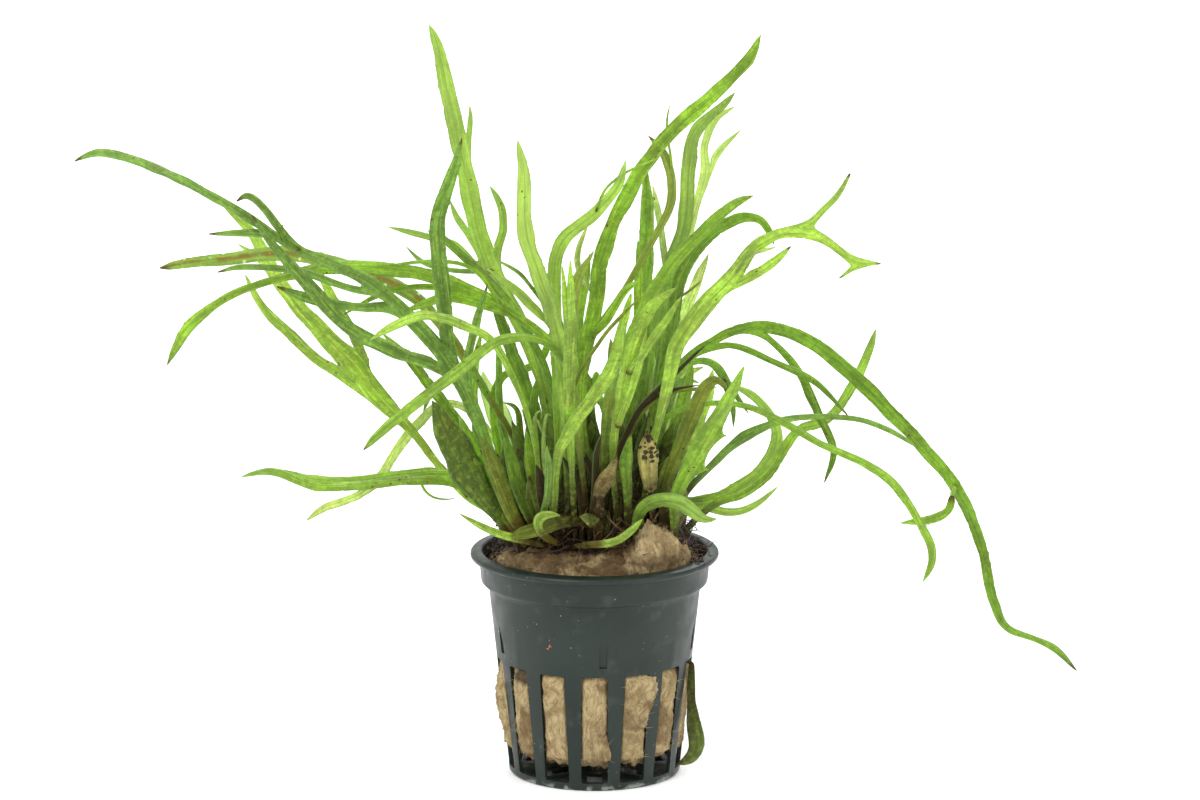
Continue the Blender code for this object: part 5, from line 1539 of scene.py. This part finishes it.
def turned_shell(name, outline):
    """A ring at the outline's first point, extruded and resized from point to point."""
    (radius, height), *rest = outline
    bpy.ops.mesh.primitive_circle_add(vertices=TURNS, radius=radius * MM, fill_type="NGON")
    item = bpy.context.active_object
    item.name = name
    edit(item)
    bpy.ops.transform.translate(value=(0, 0, height * MM))
    bpy.ops.mesh.select_mode(type="EDGE")
    bpy.ops.mesh.select_all(action="DESELECT")
    bpy.ops.mesh.select_non_manifold()
    for next_radius, next_height in rest:
        bpy.ops.mesh.extrude_edges_move(
            TRANSFORM_OT_translate={"value": (0, 0, (next_height - height) * MM)})
        share = next_radius / radius
        bpy.ops.transform.resize(value=(share, share, 1), center_override=(0, 0, 0))
        radius, height = next_radius, next_height
    bpy.ops.mesh.edge_face_add()
    leave_edit()
    turn_out(item)
    return item


def arc(centre, radius, start, end, steps):
    """Points on an arc in the outline's plane, between two angles in degrees."""
    points = []
    for step in range(steps + 1):
        angle = math.radians(start + (end - start) * step / steps)
        points.append((centre[0] + radius * math.cos(angle), centre[1] + radius * math.sin(angle)))
    return points


def pot_outline():
    """From the middle of the floor up the inside, over the lip and down to the underside."""
    inside = [
        (FLOOR_MIDDLE, FLOOR),
        (wall_radius(FLOOR) - WALL - 0.6, FLOOR),
        (wall_radius(FLOOR) - WALL - 0.1, FLOOR + 0.5),
        (wall_radius(SLOT_HIGH) - WALL, SLOT_HIGH),
        (WALL_TOP_RADIUS - WALL, WALL_TOP - 0.4),
        (WALL_TOP_RADIUS - WALL + 0.2, WALL_TOP),
        (COLLAR_RADIUS - 1.5, COLLAR_FOOT + 0.5),
        (COLLAR_RADIUS - 1.3, COLLAR_FOOT + 0.9),
        (MOUTH_RADIUS - 0.5, POT_HEIGHT - 0.9),
    ]
    rim = arc((MOUTH_RADIUS + 0.1, POT_HEIGHT - 0.5), 0.5, 160, 90, 3)
    rim += arc((LIP_RADIUS - LIP_ROUND, POT_HEIGHT - 0.28 - LIP_ROUND), LIP_ROUND, 75, -80, 6)
    outside = [
        (COLLAR_RADIUS + 0.5, POT_HEIGHT - 1.72),
        (COLLAR_RADIUS + 0.1, POT_HEIGHT - 2.0),
        (COLLAR_RADIUS - 0.05, POT_HEIGHT - 2.5),
        (COLLAR_RADIUS - 0.35, COLLAR_FOOT + 1.1),
        (COLLAR_RADIUS - 0.5, COLLAR_FOOT + 0.5),
        (COLLAR_RADIUS - 0.9, COLLAR_FOOT + 0.1),
        (WALL_TOP_RADIUS + 0.45, COLLAR_FOOT - 0.1),
        (WALL_TOP_RADIUS + 0.08, WALL_TOP - 0.2),
        (wall_radius(WALL_TOP - 0.8), WALL_TOP - 0.8),
        (wall_radius(SLOT_HIGH), SLOT_HIGH),
        (wall_radius(1.9), 1.9),
        (wall_radius(1.0) + 0.12, 1.0),
        (wall_radius(0.5) + 0.02, 0.45),
        (BASE_RADIUS - 0.35, 0.08),
        (BASE_RADIUS - 0.9, 0),
        (FLOOR_MIDDLE, 0),
    ]
    return inside + rim + outside


def boxes_round(count, radius, height, size, first=0.0, tilt=0.0):
    """The places and sizes of boxes spaced evenly round the pot."""
    boxes = []
    for step in range(count):
        turn = Matrix.Rotation(first + math.tau * step / count, 4, "Z")
        place = turn @ Matrix.Translation(Vector((0, -radius, height)) * MM)
        tilted = place @ Matrix.Rotation(tilt, 4, "X")
        boxes.append(tilted @ Matrix.Diagonal((*(Vector(size) * MM), 1)))
    return boxes


def cutting_boxes():
    """The side slots, the grooves over them and the floor's slots."""
    height = SLOT_HIGH - SLOT_LOW
    radius = wall_radius((SLOT_HIGH + SLOT_LOW) / 2) - WALL / 2
    boxes = boxes_round(SLOTS, radius, SLOT_LOW + height / 2, (SLOT_WIDTH, 8, height))
    height = NOTCH_HIGH - NOTCH_LOW
    middle = (NOTCH_HIGH + NOTCH_LOW) / 2
    lean = math.atan((WALL_TOP_RADIUS - BASE_RADIUS) / WALL_TOP)
    lean += math.atan(NOTCH_DEPTH / height)
    boxes += boxes_round(NOTCHES, wall_radius(middle) - NOTCH_DEPTH / 2 + 1, middle,
                         (NOTCH_WIDTH, 2, height), FIRST_NOTCH, lean)
    inner, outer = FLOOR_SLOT_REACH
    boxes += boxes_round(FLOOR_SLOTS, (inner + outer) / 2, FLOOR / 2,
                         (FLOOR_SLOT_WIDTH, outer - inner, 4 * FLOOR))
    return boxes


def make_pot():
    pot = turned_shell("pot_shell", pot_outline())
    for number, matrix in enumerate(cutting_boxes()):
        bpy.ops.mesh.primitive_cube_add(size=1)
        cutter = bpy.context.active_object
        cutter.matrix_world = matrix
        if number < SLOTS:
            bpy.ops.object.transform_apply(location=False, rotation=False, scale=True)
            apply_modifier(cutter, "BEVEL", width=0.5 * MM, segments=3)
        apply_modifier(pot, "BOOLEAN", operation="DIFFERENCE", solver="EXACT", object=cutter)
        bpy.data.objects.remove(cutter)
    apply_modifier(pot, "BEVEL", width=0.12 * MM, segments=2, limit_method="ANGLE",
                   angle_limit=math.radians(50))
    pick(pot)
    bpy.ops.object.shade_smooth_by_angle(angle=math.radians(35))
    dress(pot, pot_finish(), "pot_plastic", "pot")


def make_specks():
    """A small reddish tangle of fibre stuck on the pot's wall."""
    draw = random.Random(5)
    radius = wall_radius(SPECK_HEIGHT) + 0.15
    heart = Vector((math.sin(SPECK_ANGLE) * radius, -math.cos(SPECK_ANGLE) * radius, SPECK_HEIGHT))
    paths = []
    for _ in range(12):
        start = heart + Vector((draw.gauss(0, 0.22), 0, draw.gauss(0, 0.45)))
        heading = Vector((draw.gauss(0, 1), draw.uniform(-0.3, 0), draw.gauss(0, 1)))
        paths.append(wandering(draw, start, heading, 3, 0.16, 0.8))
    copper = clouded_finish("reddish speck", 1200, 0.4, 0.6, (0.45, 0.12, 0.06),
                            (0.62, 0.25, 0.15), 0.6)
    strands("copper_speck", paths, 0.075, copper, "pot_plastic", 1)


def make_rootlets():
    """White, slightly glassy rootlets of the plantlet that grows on the long right arch."""
    draw = random.Random(3)
    foot = seen_at(73.5, 56.2, -22)
    paths = []
    for across, up in ((69.5, 48), (69.5, 52), (75, 53), (67.6, 54), (71.5, 45.5)):
        end = seen_at(across, up, -23 + draw.uniform(-2, 2))
        middle = foot.lerp(end, 0.5) + Vector((draw.uniform(-1.5, 1.5), 0, draw.uniform(-1, 1)))
        run = interpolate_bezier(foot, middle, middle, end, 9)
        paths.append([(place, 1 - 0.6 * step / 8) for step, place in enumerate(run)])
    white = clouded_finish("white rootlets", 400, 0.4, 0.6, (0.62, 0.58, 0.55),
                           (0.85, 0.84, 0.80), 0.4)
    strands("white_rootlets", paths, 0.13, white, "rhizome", 1)


# The stage


def make_camera():
    data = bpy.data.cameras.new("Camera")
    data.lens = EYE_LENS
    data.sensor_width = 36
    camera = bpy.data.objects.new("Camera", data)
    camera.location = EYE * MM
    camera.rotation_euler = (math.radians(90 - EYE_TILT), 0, 0)
    bpy.context.scene.collection.objects.link(camera)
    bpy.context.scene.camera = camera


def make_light(name, place, size, power):
    """A square lamp that looks at the middle of the plant."""
    data = bpy.data.lights.new(name, "AREA")
    data.size = size
    data.energy = power
    lamp = bpy.data.objects.new(name, data)
    lamp.location = place
    aim = Vector((0, 0, 0.08)) - Vector(place)
    lamp.rotation_euler = aim.to_track_quat("-Z", "Y").to_euler()
    bpy.context.scene.collection.objects.link(lamp)


def make_stage():
    bpy.ops.mesh.primitive_plane_add(size=12)
    floor = bpy.context.active_object
    floor.name = "floor"
    wear(floor, clouded_finish("pale floor", 6, 0.3, 0.7, (0.93, 0.93, 0.93),
                               (0.95, 0.95, 0.95), 0.9, 0.1))
    world = bpy.data.worlds.new("Studio")
    world.use_nodes = True
    sky = world.node_tree.nodes["Background"]
    sky.inputs["Color"].default_value = (1, 1, 1, 1)
    sky.inputs["Strength"].default_value = 1.0
    bpy.context.scene.world = world
    bpy.context.scene.view_settings.view_transform = "Standard"
    make_light("key", (-0.7, -0.9, 1.1), 0.7, 14)
    make_light("fill", (0.9, -0.8, 0.6), 0.9, 5)
    make_light("back", (0.2, 0.9, 1.0), 0.9, 12)


def leaf_finishes():
    """The finish of each tint, and of the few leaves that have their own."""
    finishes = {
        tint: leaf_finish(f"leaf {word}", tint)
        for tint, word in TINTS.items() if tint not in (SLATE, TAN)
    }
    finishes[SLATE] = leaf_finish("leaf slate", SLATE, patches=1.0)
    finishes[TAN] = leaf_finish("leaf tan", TAN, patches=0.95)
    finishes[BARK] = leaf_finish("dark stem", BARK, patches=0.8)
    finishes["spotted"] = leaf_finish("leaf spotted", (0.46, 0.42, 0.14), spots=0.30)
    finishes["hazy"] = leaf_finish("leaf hazy", (0.48, 0.63, 0.52), patches=0.2)
    finishes["rusty"] = leaf_finish("leaf rusty", DARK, rusty=True)
    finishes["young"] = leaf_finish("leaf young", BRIGHT, shaded_and_grimy=False)
    finishes["right"] = leaf_finish("leaf dark to lime", DARK, shaded_and_grimy=False)
    return finishes


def main():
    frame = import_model()
    bpy.ops.object.select_all(action="DESELECT")
    make_camera()
    make_stage()
    finishes = leaf_finishes()
    make_pot()
    make_specks()
    make_wool_fibres(make_wool(frame))
    make_rhizomes()
    make_roots()
    make_fronds(finishes)
    make_small_strands(finishes)
    make_clump_blades(finishes)
    make_rootlets()


main()
